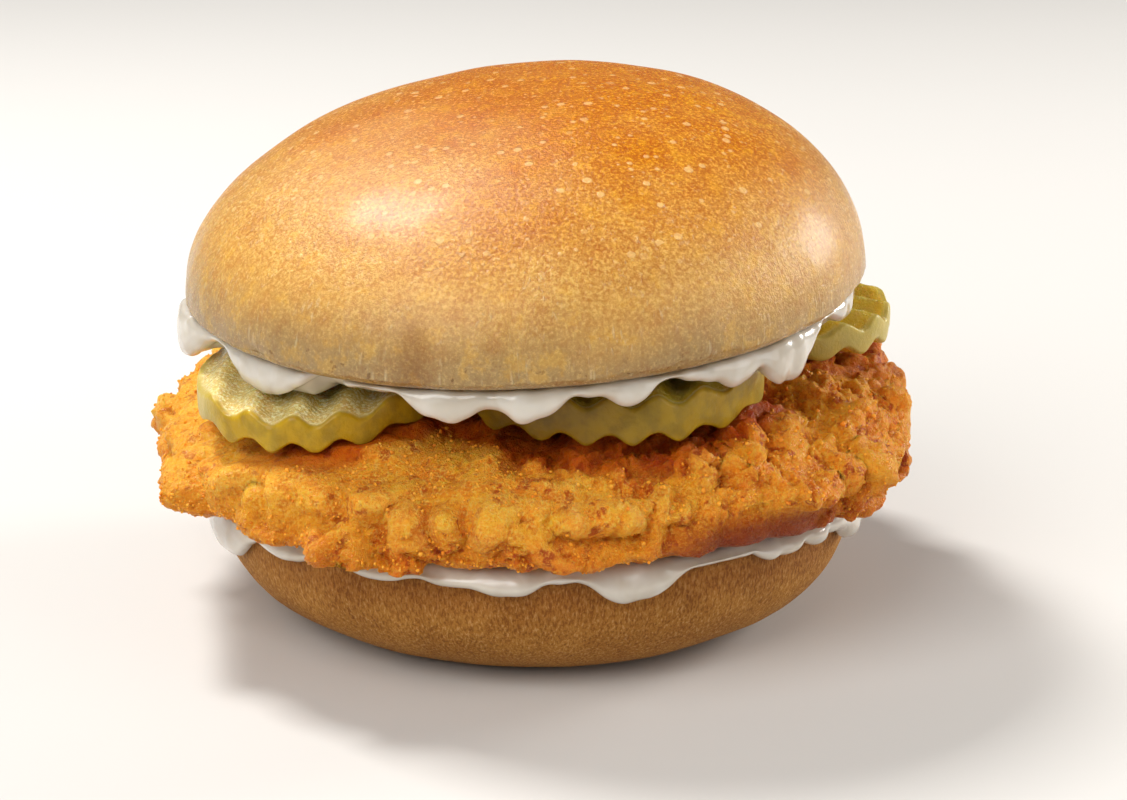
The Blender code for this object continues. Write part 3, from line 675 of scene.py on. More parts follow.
def slice_rings(entry):
    """Crinkled disc: rings from the middle of the underside round the rim to the middle of the
    top.  The section is a rectangle with rounded corners, and a cosine wave across the ridges
    lifts both faces alike."""
    radius_x, radius_y, thick = entry.across, entry.along, entry.thick
    angle = ring_angles(SLICE_POINTS)
    corner = np.linspace(0.0, 0.5 * math.pi, 9)[1:-1]
    flat = np.linspace(0.02, 1.0 - SLICE_CORNER / radius_x, 46)
    wall = np.linspace(-1.0, 1.0, 16) * (1.0 - 2.0 * SLICE_CORNER / thick)
    turn_out = 1.0 - SLICE_CORNER / radius_x * (1.0 - np.sin(corner))
    turn_up = -1.0 + 2.0 * SLICE_CORNER / thick * (1.0 - np.cos(corner))
    out = np.concatenate([flat, turn_out, np.ones(16), turn_out[::-1], flat[::-1]])[:, None]
    up = np.concatenate([0.0 * flat - 1.0, turn_up, wall, -turn_up[::-1], 0.0 * flat + 1.0])[:, None]
    ragged = 1.0 + 0.005 * np.sin(5.0 * angle + entry.phase) + 0.003 * np.sin(9.0 * angle + entry.thick)
    ragged = ragged * (0.986 + 0.006 * (1.0 - up**2))
    across = radius_x * out * ragged * np.cos(angle)
    along = radius_y * out * ragged * np.sin(angle)
    yaw = math.radians(entry.turn)
    x = entry.x + across * math.cos(yaw) - along * math.sin(yaw)
    y = entry.y + across * math.sin(yaw) + along * math.cos(yaw)
    wave = CRINKLE_DEPTH * np.cos(across * 2.0 * math.pi / CRINKLE_LENGTH + math.radians(entry.phase))
    droop = SLICE_DROOP * smooth_step(0.55, 1.0, out) * np.clip(-np.sin(angle), 0.0, 1.0)
    z = slice_middle(entry, x, y) + wave - droop + 0.5 * thick * up
    points = np.stack([x, y, z], axis=-1)
    seeds = round_lumps(points * (1.0, 1.0, 0.6), 2.6, SEED + 90)
    flesh = (1.0 - smooth_step(0.84, 0.93, out)) * smooth_step(0.2, 0.45, out)
    wet = layered_noise(points, 1.7, SEED + 94, 2) * smooth_step(0.3, 0.5, out)
    points[..., 2] += (0.12 * seeds * flesh + 0.10 * wet) * np.sign(up)
    rind = smooth_step(0.93, 0.99, out) + 0.0 * angle
    return points, rind, seeds * flesh


def drip_ring(drips, gain, seed, least):
    """Angles round a sauce, and at each the drop of its edge, at least the least, and how far
    it stands out: the tongues times the gain, plus a little noise round the ring."""
    angle = ring_angles(SAUCE_POINTS)
    drop, proud = drips_at(drips, np.degrees(angle))
    way = np.stack([46.0 * np.cos(angle), 46.0 * np.sin(angle), 0.0 * angle], axis=-1)
    drop = drop * gain + 0.25 * layered_noise(way, 6.0, seed, 2)
    return angle, np.maximum(drop, least), proud


def folded(sauce, face, depth, size, seed):
    """Sauce with soft folds of noise along its normals, where its face shows."""
    folds = depth * layered_noise(sauce * (1.0, 1.0, 0.6), size, seed, 2)
    return raised(sauce, folds * face)


def upper_sauce_rings():
    """Sauce under the crown: at each angle a section of control points, from the middle of its
    underside out to the hanging lip and back to the middle of its top, smoothed by a spline."""
    angle, drop, proud = drip_ring(UPPER_DRIPS, 1.06, SEED + 100, 0.05)
    flat = np.zeros_like(angle)
    inner, outer = UPPER_INNER + flat, UPPER_OUTER + proud
    radii = np.stack([0.02 * inner, 0.5 * inner, inner, inner + 2.0, outer - 1.9, outer - 0.6, outer + 0.5,
                      outer + 0.7, outer + 0.2, outer - 2.0, 0.6 * inner, 0.02 * inner])
    x = CROWN_CENTRE[0] + radii * np.cos(angle)
    y = CROWN_CENTRE[1] + radii * np.sin(angle)
    roof = crown_lip(x, y) - 0.12
    floor = np.minimum(sauce_floor(x, y), crown_base(x, y) - GAP - 0.6)
    tip = crown_base(x, y) - GAP - 0.4 - drop
    hang = smooth_step(0.8, 2.2, drop)
    neck = floor * hang + (tip + 0.4) * (1.0 - hang)
    heights = np.stack([*floor[:3], neck[3], tip[4] + 0.15 + 0.12 * drop, tip[5] - 0.25,
                        tip[6] + 0.30 + 0.12 * drop, tip[7] + 0.5 + 0.5 * drop, roof[8] - 0.1, *roof[9:]])
    sauce = spline_rings(np.stack([x, y, heights], axis=-1), SAUCE_RINGS)
    for entry in SLICES:
        near = slice_crest(entry, sauce[..., 0], sauce[..., 1]) - 0.3
        cover = slice_cover(entry, sauce, 0.1, 0.8)
        lift = np.maximum(near - sauce[..., 2], 0.0) * cover
        sauce[..., 2] += np.minimum(lift, np.maximum(roof[0] - sauce[..., 2] - 0.3, 0.0) + 6.0)
    reach = np.hypot(sauce[..., 0] - CROWN_CENTRE[0], sauce[..., 1])
    return folded(sauce, smooth_step(UPPER_INNER + 1.0, UPPER_OUTER, reach), 0.34, 4.2, SEED + 104)


def lower_sauce_rings():
    """Sauce on the heel: its section lies on the cut face, hangs over the rim along the heel's
    side, and comes back under the patty, smoothed by a spline."""
    angle, drop, proud = drip_ring(LOWER_DRIPS, 1.1, SEED + 110, 0.1)
    rim = HEEL_RIM_RADIUS + 0.0 * angle
    edge = heel_top(rim * np.cos(angle))
    tip = edge + 0.1 - drop
    radii = np.stack([0.02 * rim, 0.5 * rim, rim - 1.2, rim + 0.1, heel_radius(tip + 0.8),
                      heel_radius(tip) + 0.3, heel_radius(tip + 0.4) + 1.3 + 0.4 * proud,
                      heel_radius(tip + 1.2) + 1.9 + proud, rim + 1.2 + proud, rim + 0.2,
                      0.86 * rim, 0.02 * rim])
    x, y = radii * np.cos(angle), radii * np.sin(angle)
    bed = heel_top(x) + 0.05
    roof = patty_under(x, y) + 0.25
    heights = np.stack([*bed[:3], edge + 0.1, tip + 0.6, tip - 0.1, tip + 0.2,
                        tip + 0.9 + 0.2 * drop, edge + 0.8, *roof[9:]])
    sauce = spline_rings(np.stack([x, y, heights], axis=-1), SAUCE_RINGS)
    reach = np.hypot(sauce[..., 0], sauce[..., 1])
    return folded(sauce, smooth_step(HEEL_RIM_RADIUS - 3.0, HEEL_RIM_RADIUS, reach), 0.22, 4.6, SEED + 114)


def crumb_places(rings, bare, draw, count):
    """Seeded points of the patty and their normals, where crumbs sit: on the rough sides that
    show, clear of the slices and of the sides of the box."""
    reach = np.hypot(rings[..., 0], rings[..., 1])
    chance = smooth_step(26.0, 34.0, reach) * (1.0 - bare) ** 4
    chance = chance * (rings[..., 2] > PATTY_UNDERSIDE + 1.6)
    for entry in SLICES:
        chance = chance * (1.0 - slice_cover(entry, rings, 0.8, 0.4))
    chance = chance.ravel() / chance.sum()
    chosen = draw.choice(chance.size, count, replace=False, p=chance)
    spots = rings.reshape(-1, 3)[chosen]
    ways = surface_normals(rings).reshape(-1, 3)[chosen]
    clear = (spots > BOX_LOW + CRUMB_MARGIN) & (spots < BOX_HIGH - CRUMB_MARGIN)
    inside = np.all(clear | [False, False, True], axis=1)
    return spots[inside], ways[inside]


def crumb_mesh(points, normals, draw, smallest, largest):
    """Small angular crumbs: icosahedra with every corner drawn in or out, squashed, turned at
    random and sunk a little past their middles into the surface."""
    count = len(points)
    golden = 0.5 * (1.0 + math.sqrt(5.0))
    corners = np.array([(-1, golden, 0), (1, golden, 0), (-1, -golden, 0), (1, -golden, 0),
                        (0, -1, golden), (0, 1, golden), (0, -1, -golden), (0, 1, -golden),
                        (golden, 0, -1), (golden, 0, 1), (-golden, 0, -1), (-golden, 0, 1)])
    corners /= np.linalg.norm(corners[0])
    sides = np.array([(0, 11, 5), (0, 5, 1), (0, 1, 7), (0, 7, 10), (0, 10, 11), (1, 5, 9), (5, 11, 4),
                      (11, 10, 2), (10, 7, 6), (7, 1, 8), (3, 9, 4), (3, 4, 2), (3, 2, 6), (3, 6, 8),
                      (3, 8, 9), (4, 9, 5), (2, 4, 11), (6, 2, 10), (8, 6, 7), (9, 8, 1)])
    size = smallest + (largest - smallest) * draw.random(count) ** 3.0
    shape = corners * (0.7 + 0.6 * draw.random((count, 12, 1)))
    shape = shape * (0.7 + 0.6 * draw.random((count, 1, 3)))
    spin = np.linalg.qr(draw.normal(size=(count, 3, 3)))[0]
    spin = spin * np.sign(np.linalg.det(spin))[:, None, None]
    shape = np.einsum("nij,nkj->nki", spin, shape) * size[:, None, None]
    middle = points - normals * (0.12 * size)[:, None]
    where = (shape + middle[:, None, :]).reshape(-1, 3) * MM
    index = (sides[None] + 12 * np.arange(count)[:, None, None]).reshape(-1, 3)
    mesh = mesh_from_arrays("breading_crumbs", where, index.ravel(), np.full(len(index), 3))
    shade = np.repeat(draw.random(count), 12).astype(np.float32)
    mesh.attributes.new("tone", "FLOAT", "POINT").data.foreach_set("value", shade)
    return mesh


class Value:
    """A number in a material that Python arithmetic works on; each operation adds a Math node."""

    def __init__(self, paint, socket):
        self.paint = paint
        self.socket = socket

    def maths(self, operation, *others, **settings):
        """The result of one Math node on this value and the others."""
        values = dict(enumerate((self, *others)))
        return self.paint.node("ShaderNodeMath", {"operation": operation, **settings}, values)

    def __add__(self, other):
        return self.maths("ADD", other)

    __radd__ = __add__

    def __sub__(self, other):
        return self.maths("SUBTRACT", other)

    def __rsub__(self, other):
        return (self * -1.0).maths("ADD", other)

    def __mul__(self, other):
        return self.maths("MULTIPLY", other)

    __rmul__ = __mul__

    def clamped(self):
        """The value kept within 0 and 1."""
        return self.maths("ADD", 0.0, use_clamp=True)

    def above(self, low, high):
        """A smooth step: 0 below low, 1 above high."""
        settings = {"interpolation_type": "SMOOTHSTEP"}
        return self.paint.node("ShaderNodeMapRange", settings, {0: self, 1: low, 2: high, 3: 0.0, 4: 1.0})

    def below(self, low, high):
        """A smooth step down: 1 below low, 0 above high."""
        return 1.0 - self.above(low, high)


class Paint:
    """One material, the nodes that are added to it, and the base colour built up so far."""

    def __init__(self, name):
        self.material = bpy.data.materials.new(name)
        self.material.use_nodes = True
        self.tree = self.material.node_tree
        self.shader = self.tree.nodes["Principled BSDF"]
        self.colour = None

    def node(self, kind, settings=None, values=None, output=0):
        """Add a node: its settings first, then its sockets' values or links."""
        made = self.tree.nodes.new(kind)
        for name, setting in (settings or {}).items():
            setattr(made, name, setting)
        for place, value in (values or {}).items():
            self.put(made.inputs[place], value)
        return Value(self, made.outputs[output])

    def put(self, socket, value):
        """Link a value to a socket, or set it on the socket itself."""
        if isinstance(value, Value):
            self.tree.links.new(value.socket, socket)
        else:
            socket.default_value = value

    def coordinates(self, up=1.0):
        """Object coordinates in millimetres, with the heights multiplied by a factor."""
        place = self.node("ShaderNodeTexCoord", output=3)
        stretch = (1.0 / MM, 1.0 / MM, up / MM)
        return self.node("ShaderNodeMapping", {"vector_type": "POINT"}, {"Vector": place, "Scale": stretch})

    def axis(self, name, coordinates=None):
        """One coordinate in millimetres."""
        place = coordinates or self.coordinates()
        return self.node("ShaderNodeSeparateXYZ", {}, {0: place}, "XYZ".index(name))

    def noise(self, size, detail=2.0, rough=0.5, up=1.0, warp=0.0):
        """Noise, about 0 to 1, whose features are size millimetres across."""
        values = {"Vector": self.coordinates(up), "Scale": 1.0 / size, "Detail": detail,
                  "Roughness": rough, "Distortion": warp}
        return self.node("ShaderNodeTexNoise", {"noise_dimensions": "3D"}, values)

    def cells(self, size, up=1.0, output="Distance"):
        """Distance to the nearest of points scattered size millimetres apart, or its cell's colour."""
        values = {"Vector": self.coordinates(up), "Scale": 1.0 / size}
        return self.node("ShaderNodeTexVoronoi", {"feature": "F1"}, values, output)

    def attribute(self, name):
        """A point attribute of the mesh."""
        return self.node("ShaderNodeAttribute", {"attribute_name": name}, output=2)

    def mix(self, factor, first, second, **settings):
        """A colour that goes from the first to the second with the factor."""
        settings = {"data_type": "RGBA", "clamp_factor": True, **settings}
        return self.node("ShaderNodeMix", settings, {0: factor, 6: first, 7: second}, 2)

    def cover(self, factor, colour):
        """Lay a colour over the base colour, as far as the factor says."""
        self.colour = self.mix(factor, self.colour, colour)

    def tint(self, factor, colour):
        """Multiply the base colour by another, as far as the factor says."""
        self.colour = self.mix(factor, self.colour, colour, blend_type="MULTIPLY")

    def bump(self, height, strength, distance):
        """Bump from a height field; the distance is in millimetres."""
        values = {"Strength": strength, "Distance": distance * MM, "Height": height}
        self.put(self.shader.inputs["Normal"], self.node("ShaderNodeBump", {}, values))

    def finish(self, **sockets):
        """Give the shader its base colour and its other sockets, and give back the material."""
        self.put(self.shader.inputs["Base Color"], self.colour)
        for name, value in sockets.items():
            self.put(self.shader.inputs[name.replace("_", " ")], value)
        return self.material


def tone(red, green, blue):
    """A colour given as 0 to 255 screen values, as the linear numbers a shader takes."""
    parts = [part / 255.0 for part in (red, green, blue)]
    linear = [part / 12.92 if part <= 0.04045 else ((part + 0.055) / 1.055) ** 2.4 for part in parts]
    return (*linear, 1.0)


def crown_crust(look):
    """Satin baked crust: deep orange on top, tan round the side and a darker tan near the cut that is
    partly painted shade, with a fine grain, soft pale blisters, pale creases that run up the side and
    are partly painted glints, painted shade in a dent at the front and a few brown specks at the cut."""
    paint = Paint("crown_crust")
    height = paint.axis("Z")
    drift = paint.noise(15.0, 3.0, 0.55)
    baked = (height + (drift - 0.5) * 22.0).above(55.0, 76.0)
    pale = (height + (drift - 0.5) * 8.0).below(46.0, 58.0)
    paint.colour = paint.mix(baked, look.crust_side, look.crust_top)
    # Tan crust near the cut, less baked, but set darker than the side as painted shade on the lower edge
    # that faces down
    paint.cover(pale * 0.85, look.crust_edge)
    mottle = paint.noise(3.4, 4.0, 0.65)
    paint.tint(mottle.above(0.50, 0.66) * 0.26, tone(226, 170, 110))
    paint.cover(mottle.below(0.34, 0.48) * 0.20, tone(250, 190, 40))
    grain = paint.noise(0.5, 3.0, 0.75)
    fleck = paint.mix(baked, tone(246, 204, 118), tone(244, 168, 0))
    upper = height.above(48.0, 62.0)
    paint.cover(grain.above(0.50, 0.62) * (0.18 + upper * 0.38), fleck)
    paint.tint(grain.below(0.38, 0.50) * (0.18 + upper * 0.32), tone(206, 148, 58))
    spot = paint.cells(1.9, 1.3)
    draw = paint.cells(1.9, 1.3, "Color")
    blister = (spot - paint.axis("Y", draw) * 0.24).below(0.04, 0.17)
    blister = blister * paint.axis("X", draw).above(0.40, 0.70) * height.above(53.0, 64.0)
    seed = paint.cells(1.25).below(0.10, 0.26) * paint.noise(4.0).above(0.46, 0.60)
    blister = (blister + seed * height.above(50.0, 60.0) * 0.6).clamped()
    paint.cover(blister * 0.50, tone(250, 208, 140))
    sides = height.below(58.0, 72.0)
    # Pale streaks up the side: pale creases in the crust, partly painted glints on its fine wrinkles
    scratch = paint.noise(0.55, up=0.12, warp=0.3).above(0.57, 0.70)
    scratch = scratch * paint.noise(5.0, 3.0).above(0.46, 0.62) * sides
    paint.cover(scratch * 0.24, tone(246, 224, 180))
    fibre = paint.noise(0.6, 3.0, 0.6, 0.10)
    paint.tint(fibre.below(0.38, 0.50) * sides * 0.16, tone(204, 168, 122))
    # Painted shade in the dent at the front of the crown's lower edge
    across = (paint.axis("X") + 15.2).maths("ABSOLUTE").above(0.4, 3.6)
    dent = (1.0 - across) * height.below(47.0, 58.0) * paint.axis("Y").below(-12.0, 0.0)
    paint.tint(dent * 0.55, tone(196, 156, 112))
    specks = paint.noise(1.1).above(0.64, 0.70) * height.below(46.0, 51.0)
    paint.tint(specks * 0.6, tone(150, 108, 66))
    ripple = paint.noise(2.2, up=0.3) * sides
    paint.bump(grain + blister * 0.5 + scratch * 0.6 + ripple * 1.2, 0.8, 0.22)
    coat = 0.17 - height.above(60.0, 70.0) * 0.16
    return paint.finish(Roughness=0.20 + grain * 0.12, Subsurface_Weight=0.12,
                        Subsurface_Scale=0.0015, Coat_Weight=coat, Coat_Roughness=0.23,
                        Specular_IOR_Level=0.29)


def heel_crust(look):
    """Matt tan crust with short darker fibres that run up the side, and painted shade at the top
    of the side, under the patty and sauce.
    """
    paint = Paint("heel_crust")
    fibre = paint.noise(0.34, 3.0, 0.7, 0.36, 0.3)
    blotch = paint.noise(9.0, 3.0)
    paint.colour = paint.mix(blotch.above(0.3, 0.7), look.heel_dark, look.heel_light)
    paint.tint(fibre.below(0.38, 0.52) * 0.55, tone(158, 118, 84))
    paint.cover(fibre.above(0.52, 0.68) * 0.34, tone(228, 184, 122))
    dots = paint.noise(1.5, up=0.55).above(0.66, 0.76)
    paint.tint(dots * 0.5, tone(150, 100, 70))
    # Painted shade: the top of the heel's side is darkened where the patty and sauce overhang it
    near = paint.axis("Z").above(10.0, 17.0)
    paint.tint(near * 0.6, tone(214, 186, 170))
    paint.bump(fibre + blotch * 0.5, 0.8, 0.4)
    return paint.finish(Roughness=0.78, Subsurface_Weight=0.08, Subsurface_Scale=0.0012,
                        Specular_IOR_Level=0.25)


def breading(look):
    """Fried crumb: gold and tan in drifts, orange stains, red-brown spots and pale grains, with a
    painted highlight on the lumps, painted shade in the folds and low down, and darker round the
    slices, partly damp and partly a painted shadow.
    """
    paint = Paint("breading")
    relief = paint.attribute("relief")
    bare = paint.attribute("bare")
    damp = paint.attribute("damp")
    drift = paint.noise(7.0, 3.0, 0.6)
    low = paint.axis("Z").below(20.0, 29.0)
    patchy = paint.noise(2.4, 4.0, 0.7, warp=0.6)
    paint.colour = paint.mix(drift.above(0.40, 0.58), look.crumb_gold, look.crumb_tan)
    stain = paint.noise(4.2, 4.0, 0.65, warp=0.8).above(0.52, 0.62)
    paint.cover(stain * 0.46, look.crumb_fold)
    # Deeper orange in the folds of the relief: painted shade in the creases, broken up by patchy noise
    folds = (relief + (patchy - 0.5) * 2.2).below(-0.60, 0.05)
    paint.cover(folds * 0.6, look.crumb_fold)
    # Painted highlight: paler on the crests of the relief
    paint.cover(relief.above(0.1, 0.9) * 0.22, look.crumb_pale)
    spots = paint.noise(1.9, 1.5, 0.5, warp=0.3).above(0.56, 0.66) * paint.noise(7.0).above(0.40, 0.52)
    paint.cover(spots * 0.8, look.crumb_spot)
    west = paint.axis("X").below(-46.0, -14.0)
    paint.cover(west * 0.35, tone(250, 190, 60))
    # Smooth bare batter, its dark amber partly painted shade where it faces down under a ridge
    paint.cover((bare * (0.75 + patchy * 0.4)).clamped(), look.crumb_bare)
    grain = paint.noise(0.46, 3.0, 0.75)
    dry = (1.0 - bare * 0.9) * (1.0 - damp * 0.6)
    paint.cover(grain.above(0.50, 0.63) * dry * 0.74, look.crumb_pale)
    paint.tint(grain.below(0.37, 0.50) * 0.30, tone(220, 140, 60))
    # Darker round the slices: partly damp from their juice, partly a painted shadow under them
    paint.tint(damp, tone(206, 142, 8))
    # Painted shade: darker low on the patty, where its lower side is in shade
    paint.tint(low * 0.9, tone(220, 178, 76))
    east = paint.axis("X").above(6.0, 36.0)
    paint.tint(east * 0.6, tone(236, 202, 110))
    sandy = paint.noise(0.85, 4.0, 0.8)
    paint.bump(grain + sandy, 0.9, 0.7)
    rough = 0.30 - bare * 0.08 - stain * 0.06 + grain * 0.14
    return paint.finish(Roughness=rough, Subsurface_Weight=0.5, Subsurface_Scale=0.0018,
                        Subsurface_Radius=(1.0, 0.5, 0.12), Specular_IOR_Level=0.28)


def crumb_finish(look):
    """Small crumbs of the breading, each of its own tone."""
    paint = Paint("crumb_finish")
    own = paint.attribute("tone")
    grain = paint.noise(0.5, 2.0, 0.7)
    pale = grain.above(0.45, 0.65) * 0.3 + own.above(0.6, 1.0) * 0.2
    paint.colour = paint.mix(pale, look.crumb_tan, look.crumb_pale)
    paint.cover(0.12 + own.below(0.0, 0.6) * 0.45, look.crumb_fold)
    paint.bump(grain, 0.6, 0.15)
    return paint.finish(Roughness=0.5, Subsurface_Weight=0.25, Subsurface_Scale=0.001,
                        Subsurface_Radius=(1.0, 0.5, 0.12), Specular_IOR_Level=0.25)


def pickle_flesh(look):
    """Wet pickle: olive flesh with paler seeds and a greener rind round the edge, a pale ring at
    the edge that is partly a painted highlight, painted light and painted wet glints on the left
    slice, painted shade on the front one and painted light on the right one."""
    paint = Paint("pickle_flesh")
    rind = paint.attribute("rind")
    seeds = paint.attribute("seeds")
    cloud = paint.noise(3.2, 3.0, 0.6)
    paint.colour = paint.mix(cloud.above(0.35, 0.66), look.flesh_deep, look.flesh_light)
    paint.cover(seeds * 0.55, tone(224, 204, 120))
    # Pale ring where the flesh meets the rind, partly a painted highlight along the slice's edge
    paint.cover(rind * (1.0 - rind) * 2.2, tone(244, 234, 170))
    streak = paint.noise(2.6, 3.0, 0.6, 0.8)
    green = paint.mix(streak.above(0.35, 0.65), look.rind_deep, look.rind_light)
    paint.cover(rind * 0.85, green)
    east = paint.axis("X")
    # Painted light and painted wet glints: the left slice's top is lighter and speckled white
    west = east.below(-20.0, -8.0) * (1.0 - rind)
    speckle = paint.noise(0.55, 4.0, 0.75).above(0.48, 0.58)
    paint.tint(west * (1.0 - speckle) * 0.4, tone(236, 200, 90))
    paint.cover(west * (0.26 + speckle * 0.74), tone(255, 246, 190))
    outer = east.below(-47.0, -41.0) * rind
    paint.cover(outer * 0.5, tone(200, 190, 110))
    # Painted shade: the front slice is darker, most at its left, where the crown shades it
    front = east.above(-12.0, -4.0) * east.below(26.0, 36.0)
    paint.tint(front * (0.95 - east.above(8.0, 26.0) * 0.5), tone(192, 190, 166))
    # Painted light: the right slice's top is lighter and yellower, and its rind a greyer green
    right = east.above(26.0, 36.0)
    paint.cover(right * 0.5, paint.mix(rind, tone(250, 222, 66), tone(196, 186, 108)))
    wet = paint.noise(0.5, 3.0, 0.7)
    paint.bump(wet * (1.0 - rind * 0.8) + cloud * 0.5, 0.9, 0.6)
    return paint.finish(Roughness=0.18 + wet * 0.14 + rind * 0.12, Subsurface_Weight=0.55,
                        Subsurface_Radius=(1.0, 0.75, 0.2), Subsurface_Scale=0.003, IOR=1.4,
                        Coat_Weight=0.45 - rind * 0.36, Coat_Roughness=0.09, Specular_IOR_Level=0.45)


def mayonnaise(look):
    """Glossy off-white sauce, a little deeper in tone in random swirls."""
    paint = Paint("mayonnaise")
    swirl = paint.noise(5.0, warp=0.5)
    paint.colour = paint.mix(swirl.above(0.35, 0.65), look.sauce_deep, look.sauce_light)
    ripple = paint.noise(2.6)
    paint.bump(ripple, 0.35, 0.22)
    return paint.finish(Roughness=0.17 + swirl * 0.10, Subsurface_Weight=0.35,
                        Subsurface_Radius=(1.0, 0.8, 0.55), Subsurface_Scale=0.003, IOR=1.45,
                        Coat_Weight=0.6, Coat_Roughness=0.05)


def pale_floor(look):
    """Plain pale floor with a faint, slow change of tone."""
    paint = Paint("pale_floor")
    drift = paint.noise(180.0)
    paint.colour = paint.mix(drift, look.floor, [0.97 * part for part in look.floor[:3]] + [1.0])
    return paint.finish(Roughness=0.65)


def colour_property(name, words, red, green, blue):
    """A colour that the sidebar shows, with its default given as 0 to 255 screen values."""
    return bpy.props.FloatVectorProperty(name=name, description=words, default=tone(red, green, blue),
                                         size=4, subtype="COLOR", min=0.0, max=1.0)


class BunLook(bpy.types.PropertyGroup):
    """Colours of the bun."""

    crust_top: colour_property("Crust top", "Baked top of the crown", 188, 106, 0)
    crust_side: colour_property("Crust side", "Side of the crown", 212, 160, 78)
    # Crust near the cut, darkened in part as painted shade
    crust_edge: colour_property("Crust edge", "Pale crust near the cut", 146, 124, 86)
    heel_light: colour_property("Heel light", "Lighter crust of the heel", 175, 120, 48)
    heel_dark: colour_property("Heel dark", "Darker crust of the heel", 156, 102, 35)


class BreadingLook(bpy.types.PropertyGroup):
    """Colours of the breading and the number of its crumbs."""

    crumb_gold: colour_property("Gold", "Golden breading", 255, 182, 46)
    crumb_tan: colour_property("Tan", "Drier breading", 255, 168, 42)
    # Deeper breading: its own colour in the stains and on the crumbs, painted shade in the folds
    crumb_fold: colour_property("Folds", "Breading in the folds", 206, 88, 0)
    crumb_spot: colour_property("Spots", "Darkest fried spots", 184, 66, 6)
    # Bare batter, darkened in part as painted shade
    crumb_bare: colour_property("Bare", "Smooth batter without crumb", 156, 74, 0)
    # Pale grains of the breading and crumbs, also the painted highlight on the crests
    crumb_pale: colour_property("Grains", "Pale grains", 255, 208, 96)
    crumbs: bpy.props.IntProperty(name="Crumbs", description="Number of small crumbs on the breading",
                                  default=6000, min=0, max=9000)
    crumb_size: bpy.props.FloatProperty(name="Crumb size", description="Radius of the largest crumbs",
                                        default=0.36 * MM, min=0.0, unit="LENGTH")


class PickleLook(bpy.types.PropertyGroup):
    """Colours of the pickle slices."""

    flesh_light: colour_property("Flesh light", "Lighter flesh", 240, 212, 84)
    flesh_deep: colour_property("Flesh deep", "Deeper flesh", 216, 174, 14)
    rind_light: colour_property("Rind light", "Lighter rind", 178, 142, 0)
    rind_deep: colour_property("Rind deep", "Deeper rind", 144, 114, 4)


class SauceLook(bpy.types.PropertyGroup):
    """Colours of the mayonnaise."""

    sauce_light: colour_property("Sauce light", "Mayonnaise", 208, 202, 191)
    sauce_deep: colour_property("Sauce deep", "Mayonnaise in its hollows", 196, 187, 172)


class StageLook(bpy.types.PropertyGroup):
    """Floor, camera and lights."""

    floor: colour_property("Floor", "Colour of the floor", 214, 212, 208)
    floor_width: bpy.props.FloatProperty(name="Floor width", description="Side of the floor",
                                         default=6.0, min=1.0, unit="LENGTH")
    elevation: bpy.props.FloatProperty(name="Elevation", description="Camera's angle above the horizon",
                                       default=math.radians(18.0), subtype="ANGLE")
    distance: bpy.props.FloatProperty(name="Distance", description="From the camera to its target",
                                      default=0.412, min=0.1, unit="LENGTH")
    lens: bpy.props.FloatProperty(name="Lens", description="Focal length", default=90.0, unit="CAMERA")


class MakeHeel(bpy.types.Operator):
    """Make the lower half of the bun"""

    bl_idname = "burger.make_heel"
    bl_label = "Heel"

    def execute(self, context):
        mesh = closed_mesh("heel_bread", heel_rings())
        add_piece(mesh, heel_crust(context.scene.burger_bun), "bun_heel")
        return {"FINISHED"}


class MakeLowerSauce(bpy.types.Operator):
    """Make the mayonnaise on the heel"""

    bl_idname = "burger.make_lower_sauce"
    bl_label = "Lower mayonnaise"

    def execute(self, context):
        mesh = closed_mesh("lower_sauce", lower_sauce_rings())
        add_piece(mesh, mayonnaise(context.scene.burger_sauce), "mayo_lower")
        return {"FINISHED"}


class MakePatty(bpy.types.Operator):
    """Make the breaded patty and the crumbs on it"""

    bl_idname = "burger.make_patty"
    bl_label = "Patty"

    def execute(self, context):
        look = context.scene.burger_breading
        rings, relief, bare, damp = patty_rings()
        mesh = closed_mesh("breaded_patty", rings, {"relief": relief, "bare": bare, "damp": damp})
        add_piece(mesh, breading(look), "chicken_patty")
        draw = np.random.default_rng(SEED + 120)
        spots, ways = crumb_places(rings, bare, draw, look.crumbs)
        crumbs = crumb_mesh(spots, ways, draw, CRUMB_SMALLEST, look.crumb_size / MM)
        add_piece(crumbs, crumb_finish(look))
        return {"FINISHED"}


class MakePickles(bpy.types.Operator):
    """Make the three crinkle-cut pickle slices"""

    bl_idname = "burger.make_pickles"
    bl_label = "Pickle slices"

    def execute(self, context):
        flesh = pickle_flesh(context.scene.burger_pickle)
        for entry in SLICES:
            rings, rind, seeds = slice_rings(entry)
            name = entry.node.replace("pickle_", "slice_")
            mesh = closed_mesh(name, rings, {"rind": rind, "seeds": seeds})
            add_piece(mesh, flesh, entry.node)
        return {"FINISHED"}


class MakeUpperSauce(bpy.types.Operator):
    """Make the mayonnaise under the crown"""

    bl_idname = "burger.make_upper_sauce"
    bl_label = "Upper mayonnaise"

    def execute(self, context):
        mesh = closed_mesh("upper_sauce", upper_sauce_rings())
        add_piece(mesh, mayonnaise(context.scene.burger_sauce), "mayo_upper")
        return {"FINISHED"}


class MakeCrown(bpy.types.Operator):
    """Make the upper half of the bun"""

    bl_idname = "burger.make_crown"
    bl_label = "Crown"

    def execute(self, context):
        mesh = closed_mesh("crown_bread", crown_rings())
        add_piece(mesh, crown_crust(context.scene.burger_bun), "bun_crown")
        return {"FINISHED"}


